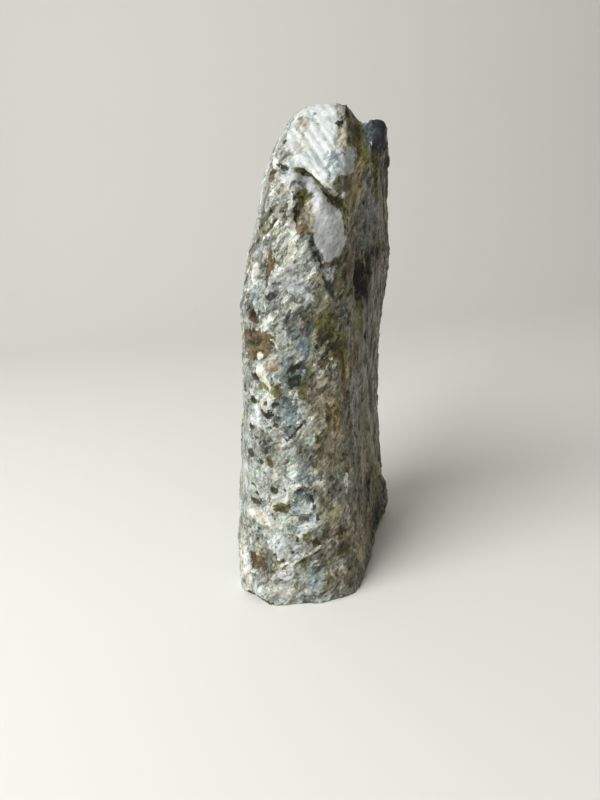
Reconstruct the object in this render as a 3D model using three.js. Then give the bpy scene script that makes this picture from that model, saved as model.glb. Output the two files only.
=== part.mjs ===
// A rough block of soapstone standing on its flat end: a leaning column with a domed head, a thin fin that
// a cleft parts from the head at the back right, and a weathered skin of ledges, hollows and flutes.
// Millimetres, +Z up. The origin is on the table under the middle of the block, whose narrow end looks
// along -Y.

import * as THREE from "three";
import { ImprovedNoise } from "three/addons/math/ImprovedNoise.js";

// Driving dimensions.
const HEAD_HEIGHT = 249; // the dome's crown above the table
const FIN_HEIGHT = 246; // the fin behind the cleft
const FOOT_REACH = 51; // how far the foot comes forward at the table

// The upright faces of the two bodies that the block is made of. Each looks along its azimuth (degrees
// from +X towards +Y), and its reach is how far it stands from the upright line through the origin, as
// [height, reach] pairs. round is the width over which it blends into the faces before it.
const COLUMN = [
  { name: "back", azimuth: 93, round: 8, reach: [[0, 50], [40, 52], [120, 51], [200, 46], [250, 38]] },
  {
    name: "back left",
    azimuth: 141,
    round: 14,
    reach: [[0, 56], [60, 56], [130, 49], [200, 36], [250, 20]],
  },
  {
    name: "left",
    azimuth: 184,
    round: 8,
    reach: [
      [0, 54], [10, 54.5], [33, 50], [58, 47], [81, 44], [104, 41], [126, 39], [146, 37], [165, 35],
      [183, 30], [198, 24], [210, 20.5], [224, 16], [236, 9.5], [250, 3],
    ],
  },
  {
    name: "front left",
    azimuth: 229,
    round: 6,
    reach: [
      [0, 62], [10, 62], [33, 58], [58, 55], [104, 51.5], [146, 49], [165, 47.5], [183, 43.5],
      [198, 38.5], [210, 36.5], [224, 34.5], [240, 31], [250, 27],
    ],
  },
  {
    name: "front",
    azimuth: 272,
    round: 10,
    reach: [[0, FOOT_REACH], [12, 53], [60, 51], [130, 49], [200, 47], [225, 46], [250, 44]],
  },
  {
    name: "front right",
    azimuth: 306,
    round: 8,
    reach: [
      [0, 43.5], [10, 43.5], [60, 41], [100, 39], [130, 38.5], [165, 40], [190, 41], [212, 43.5], [229, 49],
      [250, 47],
    ],
  },
  {
    name: "right",
    azimuth: 340,
    round: 5,
    reach: [
      [0, 31], [8, 29], [26, 27], [45, 26.5], [95, 26.5], [130, 28.5], [165, 29.5], [190, 30], [212, 32],
      [229, 34.5], [250, 34],
    ],
  },
  {
    name: "back right",
    azimuth: 26,
    round: 7,
    reach: [[0, 54], [10, 57], [30, 57.5], [80, 57.5], [114, 59], [160, 62], [220, 60], [250, 40]],
  },
];
const FIN = [
  {
    name: "fin right",
    azimuth: 331,
    round: 3,
    reach: [[90, 8], [130, 17.5], [146, 21], [163, 24], [209, 25], [235, 26.5], [250, 27]],
  },
  { name: "fin end", azimuth: 30, round: 4, reach: [[90, 60], [160, 68], [209, 70], [250, 69]] },
  { name: "fin back", azimuth: 97, round: 6, reach: [[90, 48], [200, 46], [250, 43]] },
  { name: "fin left", azimuth: 187, round: 4, reach: [[90, -18], [250, -24]] },
];

// The slanting faces that shape the heads and the foot: the way each looks and a point on it.
const COLUMN_SLANTS = [
  { name: "split face", looks: [-0.2, -0.9, 0.38], through: [12, -41, 222], round: 2 },
  { name: "left crown", looks: [-0.62, -0.05, 0.78], through: [-4.5, -28, 243.5], round: 5 },
  { name: "crown", looks: [0.02, 0.1, 0.99], through: [15, -18, HEAD_HEIGHT], round: 3 },
  { name: "olive brow", looks: [0.86, 0, 0.51], through: [24, -15, 248.5], round: 3 },
  { name: "back slope", looks: [-0.1, 0.5, 0.86], through: [8, 14, 243], round: 8 },
  { name: "toe underside", looks: [-0.45, -0.5, -0.74], through: [-40, -43, 0], round: 2 },
  { name: "heel underside", looks: [0.75, -0.2, -0.63], through: [27.5, 0, 0], round: 2 },
];
const FIN_SLANTS = [
  { name: "fin top", looks: [-0.1, 0.1, 0.99], through: [47, 36, FIN_HEIGHT], round: 2 },
  { name: "fin front", looks: [-0.8, -0.5, 0.34], through: [37.5, 36, 243], round: 2 },
];
const FIN_JOIN = 3; // the width over which the fin runs into the column

// Hollows worn into the skin: centre, half sizes in x, y and z, lean of the z axis towards +X in degrees,
// and depth.
const HOLLOWS = [
  { name: "brow hollow", at: [1, -42, 206], half: [6.5, 16, 11.5], lean: -8, depth: 5.5 },
  { name: "cleft", at: [34, 1, 200], half: [15, 11, 44], lean: 3, depth: 6 },
  { name: "cleft foot", at: [29, -7, 176], half: [13, 12, 19], lean: 6, depth: 4.5 },
  { name: "rust pocket", at: [-41, -38, 136], half: [12, 12, 6.5], lean: 0, depth: 2.4 },
  { name: "olive pocket", at: [2, -50, 138], half: [8, 10, 20], lean: 0, depth: 2 },
  { name: "waist", at: [12, -42, 78], half: [14, 14, 14], lean: 15, depth: 2.2 },
  { name: "toe pocket", at: [-40, -44, 18], half: [9, 12, 8], lean: 0, depth: 2.4 },
  { name: "left scoop", at: [-42, 14, 150], half: [14, 22, 30], lean: 12, depth: 4 },
  { name: "back scoop", at: [2, 50, 92], half: [24, 14, 26], lean: -20, depth: 5 },
];

// Lumps that stand out of the skin, in the same terms.
const LUMPS = [
  { name: "olive cheek", at: [32, -17, 231], half: [15, 17, 17], lean: -12, depth: 4 },
  { name: "brow", at: [13, -44, 202], half: [10, 14, 17], lean: -20, depth: 2 },
  { name: "toe knob", at: [-34, -47, 3], half: [8, 9, 8], lean: 0, depth: 2.2 },
  { name: "heel", at: [44, 38, 14], half: [10, 14, 12], lean: 0, depth: 2.5 },
  { name: "left hip", at: [-50, -8, 44], half: [14, 26, 22], lean: 0, depth: 2 },
];

// Ledges of the front: the skin drops back by depth below a line [x, z] to [x, z], and comes forward again
// over the fade distance.
const LEDGES = [
  { name: "split edge", from: [2, 223.5], to: [21, 207], depth: 3.2, fade: 13 },
  { name: "shin ledge", from: [-24, 14], to: [3, 25], depth: 2.2, fade: 12 },
  { name: "upper shin ledge", from: [-22, 33], to: [6, 44], depth: 1.6, fade: 10 },
  { name: "belly ledge", from: [-44, 98], to: [-14, 112], depth: 1.3, fade: 12 },
  { name: "cheek ledge", from: [-30, 168], to: [-6, 190], depth: 1.6, fade: 12 },
];

const COLUMN_TOP = 224; // up to here level rays find the skin, above it rays that fan upwards
const AXIS_FOOT = new THREE.Vector3(-4, -2, 0); // the rays start on a leaning axis inside the block
const AXIS_HEAD = new THREE.Vector3(17, 0, COLUMN_TOP);
const CORE = new THREE.Vector3(9, 22, 0); // half the line over which a ring's rays start
const AROUND = 64; // vertices round the block
const UP_BODY = 46; // rows of vertices up to the neck
const UP_NECK = 14; // closer rows from the neck to the column's top
const NECK = 185; // height of the neck
const OVER_HEAD = 13; // rows over the head
const FAN_ROWS = 6; // of those, the rows that turn from level to upright
const UNDER_FOOT = 3; // rings on the flat end
const MARCH = 2; // how far the rays step while they look for the skin

const noise = new ImprovedNoise();
const { degToRad, smoothstep, clamp } = THREE.MathUtils;

// Smooth greater-of-two: the two faces blend into each other over a width of k.
function blendedMax(a, b, k) {
  const h = Math.max(k - Math.abs(a - b), 0) / k;
  return Math.max(a, b) + (h * h * k) / 4;
}

// A face's reach at a height: a cubic through its [height, reach] pairs, flat beyond them.
function reachAt(pairs, z) {
  const last = pairs.length - 1;
  if (z <= pairs[0][0]) return pairs[0][1];
  if (z >= pairs[last][0]) return pairs[last][1];
  const i = pairs.findIndex((pair) => pair[0] > z) - 1;
  const rise = (a) => (pairs[a + 1][1] - pairs[a][1]) / (pairs[a + 1][0] - pairs[a][0]);
  const before = i > 0 ? (rise(i - 1) + rise(i)) / 2 : rise(i);
  const after = i + 2 <= last ? (rise(i) + rise(i + 1)) / 2 : rise(i);
  const span = pairs[i + 1][0] - pairs[i][0];
  const t = (z - pairs[i][0]) / span;
  const ease = t * t * (3 - 2 * t);
  const bend = t * (1 - t) * (1 - t) * span * before - t * t * (1 - t) * span * after;
  return pairs[i][1] * (1 - ease) + pairs[i + 1][1] * ease + bend;
}

// How far p is outside a body with these upright and slanting faces: negative inside.
function bodyDistance(p, uprights, slants) {
  let d = -1e3;
  for (const { azimuth, round, reach } of uprights) {
    const a = degToRad(azimuth);
    d = blendedMax(d, Math.cos(a) * p.x + Math.sin(a) * p.y - reachAt(reach, p.z), round);
  }
  for (const { looks, through, round } of slants) {
    const out = new THREE.Vector3(...looks).normalize();
    d = blendedMax(d, out.dot(p) - out.dot(new THREE.Vector3(...through)), round);
  }
  return d;
}

// 1 in the middle of a hollow or a lump, easing to 0 at its rim.
function dish(p, { at, half, lean }) {
  const a = degToRad(lean);
  const x = p.x - at[0];
  const z = p.z - at[2];
  const across = (x * Math.cos(a) - z * Math.sin(a)) / half[0];
  const up = (x * Math.sin(a) + z * Math.cos(a)) / half[2];
  const deep = (p.y - at[1]) / half[1];
  const inside = clamp(1 - across * across - up * up - deep * deep, 0, 1);
  return inside * inside * (3 - 2 * inside);
}

// How far a ledge of the front sets the skin back at p.
function setBack(p, { from, to, depth, fade }) {
  const run = [to[0] - from[0], to[1] - from[1]];
  const length = Math.hypot(...run);
  const x = p.x - from[0];
  const z = p.z - from[1];
  const along = (x * run[0] + z * run[1]) / length;
  const below = (x * run[1] - z * run[0]) / length;
  const ends = smoothstep(along, -4, 3) * (1 - smoothstep(along, length - 3, length + 4));
  const front = 1 - smoothstep(p.y, -24, -8);
  return depth * ends * front * smoothstep(below, -1.5, 1.5) * (1 - smoothstep(below, 0, fade));
}

// Broad lumps and chips of the weathered skin, finest last, and flutes that run up the right side.
function weathering(p) {
  const broad = 1.5 * noise.noise(p.x / 30 + 3, p.y / 30, p.z / 38);
  const chips = 1.8 * Math.abs(noise.noise(p.x / 15, p.y / 15 + 5, p.z / 18)) - 0.5;
  const grain = 0.7 * noise.noise(p.x / 6.5 + 7, p.y / 6.5, p.z / 9);
  const side = smoothstep(p.x - 0.35 * p.y, 14, 24);
  const flutes = 1.5 * noise.noise(p.x / 7, p.y / 5.5, p.z / 55 + 9);
  return broad + (1 - 0.6 * side) * (chips + grain) + side * flutes;
}

// p moved aside a little, so that what is placed by it gets an uneven rim.
function strayed(p) {
  const stray = 5 * noise.noise(p.x / 13, p.y / 13, p.z / 13 + 20);
  const drift = 5 * noise.noise(p.x / 13 + 31, p.y / 13, p.z / 13);
  return new THREE.Vector3(p.x + stray, p.y + stray * 0.6, p.z + drift);
}

// How far p is outside the finished block: negative inside.
function skinDistance(p) {
  const column = bodyDistance(p, COLUMN, COLUMN_SLANTS);
  const fin = bodyDistance(p, FIN, FIN_SLANTS);
  let d = weathering(p) - blendedMax(-column, -fin, FIN_JOIN);
  const q = strayed(p);
  for (const hollow of HOLLOWS) d += hollow.depth * dish(q, hollow);
  for (const lump of LUMPS) d -= lump.depth * dish(q, lump);
  for (const ledge of LEDGES) d += setBack(p, ledge);
  return d;
}

// The point where a ray from inside the block first leaves it.
function leave(origin, direction) {
  const on = (distance) => origin.clone().addScaledVector(direction, distance);
  let outside = MARCH;
  while (skinDistance(on(outside)) < 0) outside += MARCH;
  let inside = outside - MARCH;
  for (let i = 0; i < 14; i += 1) {
    const middle = (inside + outside) / 2;
    if (skinDistance(on(middle)) < 0) inside = middle;
    else outside = middle;
  }
  return on(inside);
}

// The direction of the k-th vertex round the block, in plan.
function levelDirection(k) {
  const azimuth = (2 * Math.PI * k) / AROUND;
  return new THREE.Vector3(Math.cos(azimuth), Math.sin(azimuth), 0);
}

// A ring of the column: where level rays from its axis leave the block.
function columnRing(z) {
  const centre = AXIS_FOOT.clone().lerp(AXIS_HEAD, z / COLUMN_TOP);
  return Array.from({ length: AROUND }, (_, k) => {
    const direction = levelDirection(k);
    const slide = direction.dot(CORE) / CORE.length();
    return leave(centre.clone().addScaledVector(CORE, slide), direction);
  });
}

// A ring over the head. The rays start inside the top ring of the column; they turn upright over the first
// rows and then close in on the axis.
function headRing(row, topRing) {
  const rise = (Math.PI / 2) * Math.min(1, row / FAN_ROWS);
  const spread = 0.66 * Math.min(1, (OVER_HEAD - row) / (OVER_HEAD - FAN_ROWS));
  return topRing.map((edge, k) => {
    const direction = levelDirection(k).multiplyScalar(Math.cos(rise)).setZ(Math.sin(rise));
    return leave(AXIS_HEAD.clone().lerp(edge, spread), direction);
  });
}

// The closed skin: rings of vertices across the flat end, up the column and over the head.
function skin() {
  const rings = [];
  for (let j = 0; j < UP_BODY; j += 1) rings.push(columnRing((NECK * j) / UP_BODY));
  for (let j = 0; j <= UP_NECK; j += 1) rings.push(columnRing(NECK + ((COLUMN_TOP - NECK) * j) / UP_NECK));
  const topRing = rings.at(-1);
  for (let row = 1; row < OVER_HEAD; row += 1) rings.push(headRing(row, topRing));
  const foot = rings[0];
  for (let j = 1; j < UNDER_FOOT; j += 1) {
    rings.unshift(foot.map((p) => p.clone().lerp(AXIS_FOOT, j / UNDER_FOOT)));
  }
  const vertices = rings.flat();
  const bottom = vertices.push(AXIS_FOOT.clone()) - 1;
  const top = vertices.push(leave(AXIS_HEAD, new THREE.Vector3(0, 0, 1))) - 1;
  const faces = [];
  const at = (j, k) => j * AROUND + (k % AROUND);
  for (let k = 0; k < AROUND; k += 1) {
    faces.push(bottom, at(0, k + 1), at(0, k));
    for (let j = 0; j + 1 < rings.length; j += 1) {
      faces.push(at(j, k), at(j, k + 1), at(j + 1, k + 1));
      faces.push(at(j, k), at(j + 1, k + 1), at(j + 1, k));
    }
    faces.push(at(rings.length - 1, k), at(rings.length - 1, k + 1), top);
  }
  const geometry = new THREE.BufferGeometry().setFromPoints(vertices);
  geometry.setIndex(faces);
  return geometry;
}

const stone = new THREE.MeshStandardMaterial({ color: 0xa9aaa2, roughness: 0.45, metalness: 0 });
const block = new THREE.Mesh(skin(), stone);
block.name = "soapstone_block";
const middle = new THREE.Box3().setFromObject(block).getCenter(new THREE.Vector3());
block.position.set(-middle.x, -middle.y, 0);

const root = new THREE.Group();
root.add(block);
export default root;
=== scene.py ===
"""Dresses the soapstone block: its broken skin, its minerals, its wet film and the studio round it."""

import logging
import math
from collections.abc import Iterable, Iterator, Mapping, Sequence
from dataclasses import dataclass, field
from enum import Enum
from functools import cached_property
from itertools import product
from typing import ClassVar

import bpy
import numpy as np
from mathutils import Matrix, Vector

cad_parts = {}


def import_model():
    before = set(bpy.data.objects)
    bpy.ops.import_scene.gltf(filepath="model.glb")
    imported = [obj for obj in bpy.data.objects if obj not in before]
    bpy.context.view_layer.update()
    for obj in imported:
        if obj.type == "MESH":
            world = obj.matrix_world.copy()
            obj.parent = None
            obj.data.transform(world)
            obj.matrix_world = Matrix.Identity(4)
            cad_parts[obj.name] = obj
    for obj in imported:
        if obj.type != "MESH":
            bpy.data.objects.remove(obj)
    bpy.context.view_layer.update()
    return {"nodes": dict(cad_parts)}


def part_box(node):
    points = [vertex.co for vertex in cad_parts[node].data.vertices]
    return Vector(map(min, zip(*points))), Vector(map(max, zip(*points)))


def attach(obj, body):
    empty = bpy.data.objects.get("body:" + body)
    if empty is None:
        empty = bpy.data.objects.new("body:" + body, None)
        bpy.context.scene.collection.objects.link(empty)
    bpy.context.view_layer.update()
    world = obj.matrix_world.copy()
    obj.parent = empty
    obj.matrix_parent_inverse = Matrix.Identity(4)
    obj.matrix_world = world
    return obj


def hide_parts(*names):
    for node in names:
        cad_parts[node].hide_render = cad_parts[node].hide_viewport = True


LOG = logging.getLogger("soapstone")

MM = 0.001  # metres in a millimetre
NODE = "soapstone_block"
BODY = "root"


def smoothstep(low: float, high: float, value: np.ndarray) -> np.ndarray:
    """Rises softly from 0 at low to 1 at high.

    Args:
        low: Where the rise starts.
        high: Where the rise ends.
        value: The values to place on the rise.

    Returns:
        A number from 0 to 1 for each value.
    """
    part = np.clip((value - low) / (high - low), 0.0, 1.0)
    return part * part * (3.0 - 2.0 * part)


class StoneNoise:
    """Seeded noise over points in millimetres, the same on every run."""

    def __init__(self, seed: int) -> None:
        """Draws the tables that the noise reads.

        Args:
            seed: Chooses one stone out of many alike.
        """
        draw = np.random.default_rng(seed)
        self._order = np.tile(draw.permutation(256), 2)
        slopes = draw.normal(size=(256, 3))
        self._slopes = slopes / np.linalg.norm(slopes, axis=1, keepdims=True)
        self._places = draw.random((256, 3))
        self._chances = draw.random(256)

    def _pick(self, cells: np.ndarray) -> np.ndarray:
        """Gives each lattice cell its row in the tables."""
        wrapped = cells & 255
        order = self._order
        return order[order[order[wrapped[:, 0]] + wrapped[:, 1]] + wrapped[:, 2]]

    def smooth(self, points: np.ndarray, size: float) -> np.ndarray:
        """Gradient noise.

        Args:
            points: Points in millimetres, one row each.
            size: How wide its features are, in millimetres.

        Returns:
            A number from about -1 to 1 for each point.
        """
        grid = points / size
        cells = np.floor(grid).astype(int)
        part = grid - cells
        blend = part**3 * (part * (part * 6.0 - 15.0) + 10.0)
        total = np.zeros(len(points))
        for corner in product((0, 1), repeat=3):
            step = np.array(corner)
            slope = self._slopes[self._pick(cells + step)]
            share = np.prod(np.where(step, blend, 1.0 - blend), axis=1)
            total += share * np.einsum("ij,ij->i", slope, part - step)
        return total * 1.7

    def layered(self, points: np.ndarray, size: float, layers: int) -> np.ndarray:
        """Gradient noise in layers, each half as wide and half as strong as the one before.

        Args:
            points: Points in millimetres.
            size: How wide the widest features are.
            layers: How many layers there are.

        Returns:
            A number from about -1 to 1 for each point.
        """
        total, strength, whole = np.zeros(len(points)), 1.0, 0.0
        for layer in range(layers):
            shifted = points + 37.0 * layer
            total += strength * self.smooth(shifted, size / 2**layer)
            whole += strength
            strength *= 0.5
        return total / whole

    def creases(self, points: np.ndarray, size: float) -> np.ndarray:
        """Thin winding lines where the noise changes sign, 1 on a line and 0 away from it."""
        return np.clip(1.0 - np.abs(self.smooth(points, size)) * 6.0, 0.0, 1.0) ** 2

    def _near(self, points: np.ndarray, size: float) -> Iterator[tuple[np.ndarray, np.ndarray]]:
        """Goes through the marked spots in the cells round each point.

        Args:
            points: Points in millimetres.
            size: How wide a cell is.

        Yields:
            How far each point is from the spot, in cells, and the spot's row in the tables.
        """
        grid = points / size
        cells = np.floor(grid).astype(int)
        for step in product((-1, 0, 1), repeat=3):
            near = cells + np.array(step)
            row = self._pick(near)
            yield grid - near - self._places[row], row

    def facets(self, points: np.ndarray, size: float) -> np.ndarray:
        """Flat tilted chips, each with its own slope, as broken stone has.

        Args:
            points: Points in millimetres.
            size: How wide a chip is.

        Returns:
            The height of each point's chip there, from about -0.6 to 0.6.
        """
        nearest = np.full(len(points), np.inf)
        height = np.zeros(len(points))
        for away, row in self._near(points, size):
            apart = np.einsum("ij,ij->i", away, away)
            closer = apart < nearest
            nearest = np.where(closer, apart, nearest)
            tilt = np.einsum("ij,ij->i", away, self._slopes[row])
            height = np.where(closer, tilt + 0.35 * (self._chances[row] - 0.5), height)
        return height

    def pits(self, points: np.ndarray, spacing: float, share: np.ndarray) -> np.ndarray:
        """Small round pits, strewn at random.

        Args:
            points: Points in millimetres.
            spacing: The mean distance between two pits where all are kept.
            share: The share of pits kept at each point, from 0 to 1.

        Returns:
            How deep in a pit each point is, from 0 outside to 1 at its middle.
        """
        deepest = np.zeros(len(points))
        for away, row in self._near(points, spacing):
            radius = 0.16 + 0.22 * self._chances[(row * 7 + 3) & 255]
            inside = 1.0 - np.einsum("ij,ij->i", away, away) / radius**2
            kept = self._chances[row] < share
            deepest = np.maximum(deepest, np.where(kept, np.clip(inside, 0.0, 1.0), 0.0))
        return deepest


class Side(Enum):
    """The four upright sides of the stone. Each value is the way that the side looks, as x and y."""

    FRONT = (0.0, -1.0)
    RIGHT = (1.0, 0.0)
    BACK = (0.0, 1.0)
    LEFT = (-1.0, 0.0)

    def across(self, points: np.ndarray) -> np.ndarray:
        """How far to the right of the middle each point is, as seen from this side."""
        return points[:, 1] * self.value[0] - points[:, 0] * self.value[1]

    def facing(self, normals: np.ndarray) -> np.ndarray:
        """How much each point looks this way, from 0 for not at all to 1."""
        return smoothstep(0.08, 0.3, normals[:, 0] * self.value[0] + normals[:, 1] * self.value[1])


class Mineral(Enum):
    """What a patch of the stone is made of; some marks in the olive, cream and dark masks are painted shadow
    or painted highlights instead. Each value is the name of its mask on the mesh.
    """

    SLATE = "slate"
    LAVENDER = "lavender"
    TAN = "tan"
    OLIVE = "olive"
    OCHRE = "ochre"
    BLUE = "blue"
    TEAL = "teal"
    RUST = "rust"
    WHITE = "white"
    CREAM = "cream"
    # Dark stone, and also painted shadow in hollows, along a crease and under the foot.
    DARK = "dark"
    NAVY = "navy"


@dataclass(frozen=True)
class Skin:
    """The smooth stone before its relief, in millimetres.

    Attributes:
        points: Its points, one row each.
        normals: Which way it looks at each point.
        noise: The noise that its relief and its masks are made with.
    """

    points: np.ndarray
    normals: np.ndarray
    noise: StoneNoise

    @cached_property
    def ragged(self) -> np.ndarray:
        """The points moved a little at random, so that what is drawn on them has a ragged outline."""
        noise = self.noise
        drift = [noise.layered(self.points + shift, 9.0, 3) for shift in (0.0, 211.0, 419.0)]
        return self.points + 2.2 * np.stack(drift, axis=1)


@dataclass(frozen=True)
class Spot:
    """An oval place on one side of the stone, in millimetres.

    Attributes:
        side: The side that it lies on.
        across: How far right of the middle its own middle is, seen from that side.
        up: How high its middle is.
        wide: Half its width.
        tall: Half its height.
        lean: How far its long way leans to the right of upright, in degrees.
    """

    side: Side
    across: float
    up: float
    wide: float
    tall: float
    lean: float = 0.0

    def place(self, points: np.ndarray) -> tuple[np.ndarray, np.ndarray]:
        """Finds where points lie in the spot.

        Args:
            points: Points in millimetres.

        Returns:
            How far each is from the middle along the spot's width, and along its height.
        """
        turn = math.radians(self.lean)
        right = self.side.across(points) - self.across
        above = points[:, 2] - self.up
        return (
            right * math.cos(turn) - above * math.sin(turn),
            right * math.sin(turn) + above * math.cos(turn),
        )

    def cover(self, skin: Skin, soft: float = 0.5) -> np.ndarray:
        """How much of the spot is at each point.

        Args:
            skin: The smooth stone.
            soft: How far its edge fades, as a share of its size.

        Returns:
            A number from 0 outside to 1 in the middle.
        """
        along, upright = self.place(skin.ragged)
        out = np.hypot(along / self.wide, upright / self.tall)
        return (1.0 - smoothstep(1.0 - soft, 1.0 + soft, out)) * self.side.facing(skin.normals)


@dataclass(frozen=True)
class Panel:
    """A straight-edged place on one side of the stone, in millimetres.

    Attributes:
        side: The side that it lies on.
        corners: Its corners, clockwise, as across and up. It bulges outwards everywhere.
        fade: How far its edge fades to each side of its line, at a softness of 1.
    """

    side: Side
    corners: tuple[tuple[float, float], ...]
    fade: float = 2.0

    def cover(self, skin: Skin, soft: float = 0.5) -> np.ndarray:
        """How much of the panel is at each point.

        Args:
            skin: The smooth stone.
            soft: How far its edge fades, as a share of the widest fade.

        Returns:
            A number from 0 outside to 1 inside.
        """
        points = 0.5 * (skin.points + skin.ragged)
        spot = np.stack([self.side.across(points), points[:, 2]], axis=1)
        beyond = np.full(len(spot), -np.inf)
        for start, end in zip(self.corners, self.corners[1:] + self.corners[:1]):
            run = Vector(end) - Vector(start)
            outward = np.array((-run.y, run.x)) / run.length
            beyond = np.maximum(beyond, (spot - np.array(start)) @ outward)
        reach = self.fade * soft
        return (1.0 - smoothstep(-reach, reach, beyond)) * self.side.facing(skin.normals)

    def mask(self, skin: Skin) -> np.ndarray:
        """How much of the mineral is at each point, from 0 to 1."""
        return self.cover(skin, 0.4)


@dataclass(frozen=True)
class Patch(Spot):
    """A place where one mineral shows, or where a painted glint or painted shadow lies in its colour.

    Attributes:
        strength: How much of the place it takes, from 0 to 1.
        soft: How far its edge fades, as a share of its size.
    """

    strength: float = 1.0
    soft: float = 0.55

    def mask(self, skin: Skin) -> np.ndarray:
        """How much of the mineral is at each point, from 0 to 1."""
        return self.strength * self.cover(skin, self.soft)


@dataclass(frozen=True)
class Hollow(Spot):
    """A dish sunk into the stone, or with a depth below 0 a swelling on it.

    Attributes:
        depth: How deep its middle is, in millimetres.
        soft: How far its edge fades, as a share of its size.
    """

    depth: float = 1.0
    soft: float = 0.5

    def sink(self, skin: Skin) -> np.ndarray:
        """How far the hollow takes each point in, in millimetres."""
        return self.depth * self.cover(skin, self.soft)


@dataclass(frozen=True)
class Grooves(Spot):
    """Many side by side grooves, which run along the long way of their place.

    Attributes:
        spacing: From one groove to the next, in millimetres.
        depth: How deep they are, in millimetres.
        wander: How far the grooves stray, in grooves.
    """

    spacing: float = 3.5
    depth: float = 0.6
    wander: float = 0.5

    def sink(self, skin: Skin) -> np.ndarray:
        """Works out how far the grooves take each point in.

        Args:
            skin: The smooth stone.

        Returns:
            The depth at each point, in millimetres.
        """
        along, upright = self.place(skin.points)
        stretched = np.stack([along, upright * 0.12, np.full(len(along), self.up)], axis=1)
        phase = along / self.spacing + self.wander * skin.noise.layered(stretched, 7.0, 2)
        strength = 0.6 + 0.6 * skin.noise.smooth(stretched + 91.0, 6.0)
        profile = (0.5 + 0.5 * np.cos(phase * 2.0 * math.pi)) ** 1.5
        return self.depth * profile * np.clip(strength, 0.0, 1.2) * self.cover(skin)


@dataclass(frozen=True)
class Ledge:
    """A broken edge: below its line the stone is set back, and comes out again further down.

    Attributes:
        side: The side that it lies on.
        start: Its left end, as across and up in millimetres.
        end: Its right end.
        depth: How far the stone is set back, in millimetres.
        fade: How far below the line it has mostly come out again.
        lip: How far the edge itself stands out.
    """

    side: Side
    start: tuple[float, float]
    end: tuple[float, float]
    depth: float
    fade: float = 5.0
    lip: float = 0.25

    def sink(self, skin: Skin) -> np.ndarray:
        """Works out how far the ledge takes each point in.

        Args:
            skin: The smooth stone.

        Returns:
            The depth at each point, in millimetres.
        """
        run = Vector(self.end) - Vector(self.start)
        length, run = run.length, run.normalized()
        right = self.side.across(skin.ragged) - self.start[0]
        above = skin.ragged[:, 2] - self.start[1]
        along = (right * run.x + above * run.y) / length
        below = right * run.y - above * run.x
        ends = smoothstep(-0.1, 0.15, along) * (1.0 - smoothstep(0.85, 1.1, along))
        step = smoothstep(-0.5, 0.7, below) * np.exp(-np.clip(below, 0.0, None) / self.fade)
        lip = np.exp(-(((below + 1.0) / 1.1) ** 2))
        return (self.depth * step - self.lip * lip) * ends * self.side.facing(skin.normals)


@dataclass(frozen=True)
class Line:
    """A thin beaded line of colour: a vein, a crack, or along a ledge its bright edge as painted highlight or
    the painted shadow beside it.

    Attributes:
        side: The side that it lies on.
        path: Its points from end to end, as across and up in millimetres.
        width: How far it reaches to each side, in millimetres.
        strength: How much of its place it takes, from 0 to 1.
        beads: How much its width varies along it.
    """

    side: Side
    path: tuple[tuple[float, float], ...]
    width: float = 1.2
    strength: float = 1.0
    beads: float = 0.5

    def mask(self, skin: Skin) -> np.ndarray:
        """Works out how much of the line is at each point.

        Args:
            skin: The smooth stone.

        Returns:
            A number from 0 beside the line to 1 on it.
        """
        wobble = 0.6 * skin.noise.smooth(skin.points, 4.0)
        spot = np.stack([self.side.across(skin.points) + wobble, skin.points[:, 2]], axis=1)
        apart = np.full(len(spot), np.inf)
        for start, end in zip(self.path, self.path[1:]):
            low, run = np.array(start), np.array(end) - np.array(start)
            part = np.clip((spot - low) @ run / (run @ run), 0.0, 1.0)
            apart = np.minimum(apart, np.linalg.norm(spot - low - part[:, None] * run, axis=1))
        wide = self.width * (0.9 + self.beads * skin.noise.smooth(skin.points + 57.0, 3.2))
        near = 1.0 - smoothstep(0.4, 1.2, apart / np.maximum(wide, 0.2))
        return self.strength * near * self.side.facing(skin.normals)


FRONT, RIGHT, BACK, LEFT = Side

HEAD_FACE = Panel(
    FRONT,
    (
        (-4.0, 236.0), (-1.0, 247.0), (6.0, 254.0), (22.5, 254.0),
        (18.5, 240.0), (19.5, 229.0), (18.0, 208.5), (0.0, 223.8),
    ),
)
HEAD_CHEEK = Panel(FRONT, ((18.0, 231.0), (27.0, 230.5), (28.5, 221.0), (21.0, 217.5), (17.0, 219.0)))
BROW = Panel(FRONT, ((3.5, 219.6), (18.8, 204.2), (19.4, 189.0), (15.5, 183.4), (9.0, 181.6), (4.4, 191.5)))
BROW_TOP = Panel(FRONT, ((-7.5, 218.5), (-1.5, 222.6), (4.5, 219.4), (7.0, 213.8), (-5.0, 214.2)))
VEIN = ((2.8, 194.2), (3.8, 189.8), (5.4, 186.1), (6.4, 180.6), (7.9, 174.0), (10.0, 168.9), (13.1, 162.5))
PITTED = (Spot(FRONT, -30.0, 88.0, 16.0, 62.0), Spot(LEFT, 16.0, 110.0, 26.0, 60.0))

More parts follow.
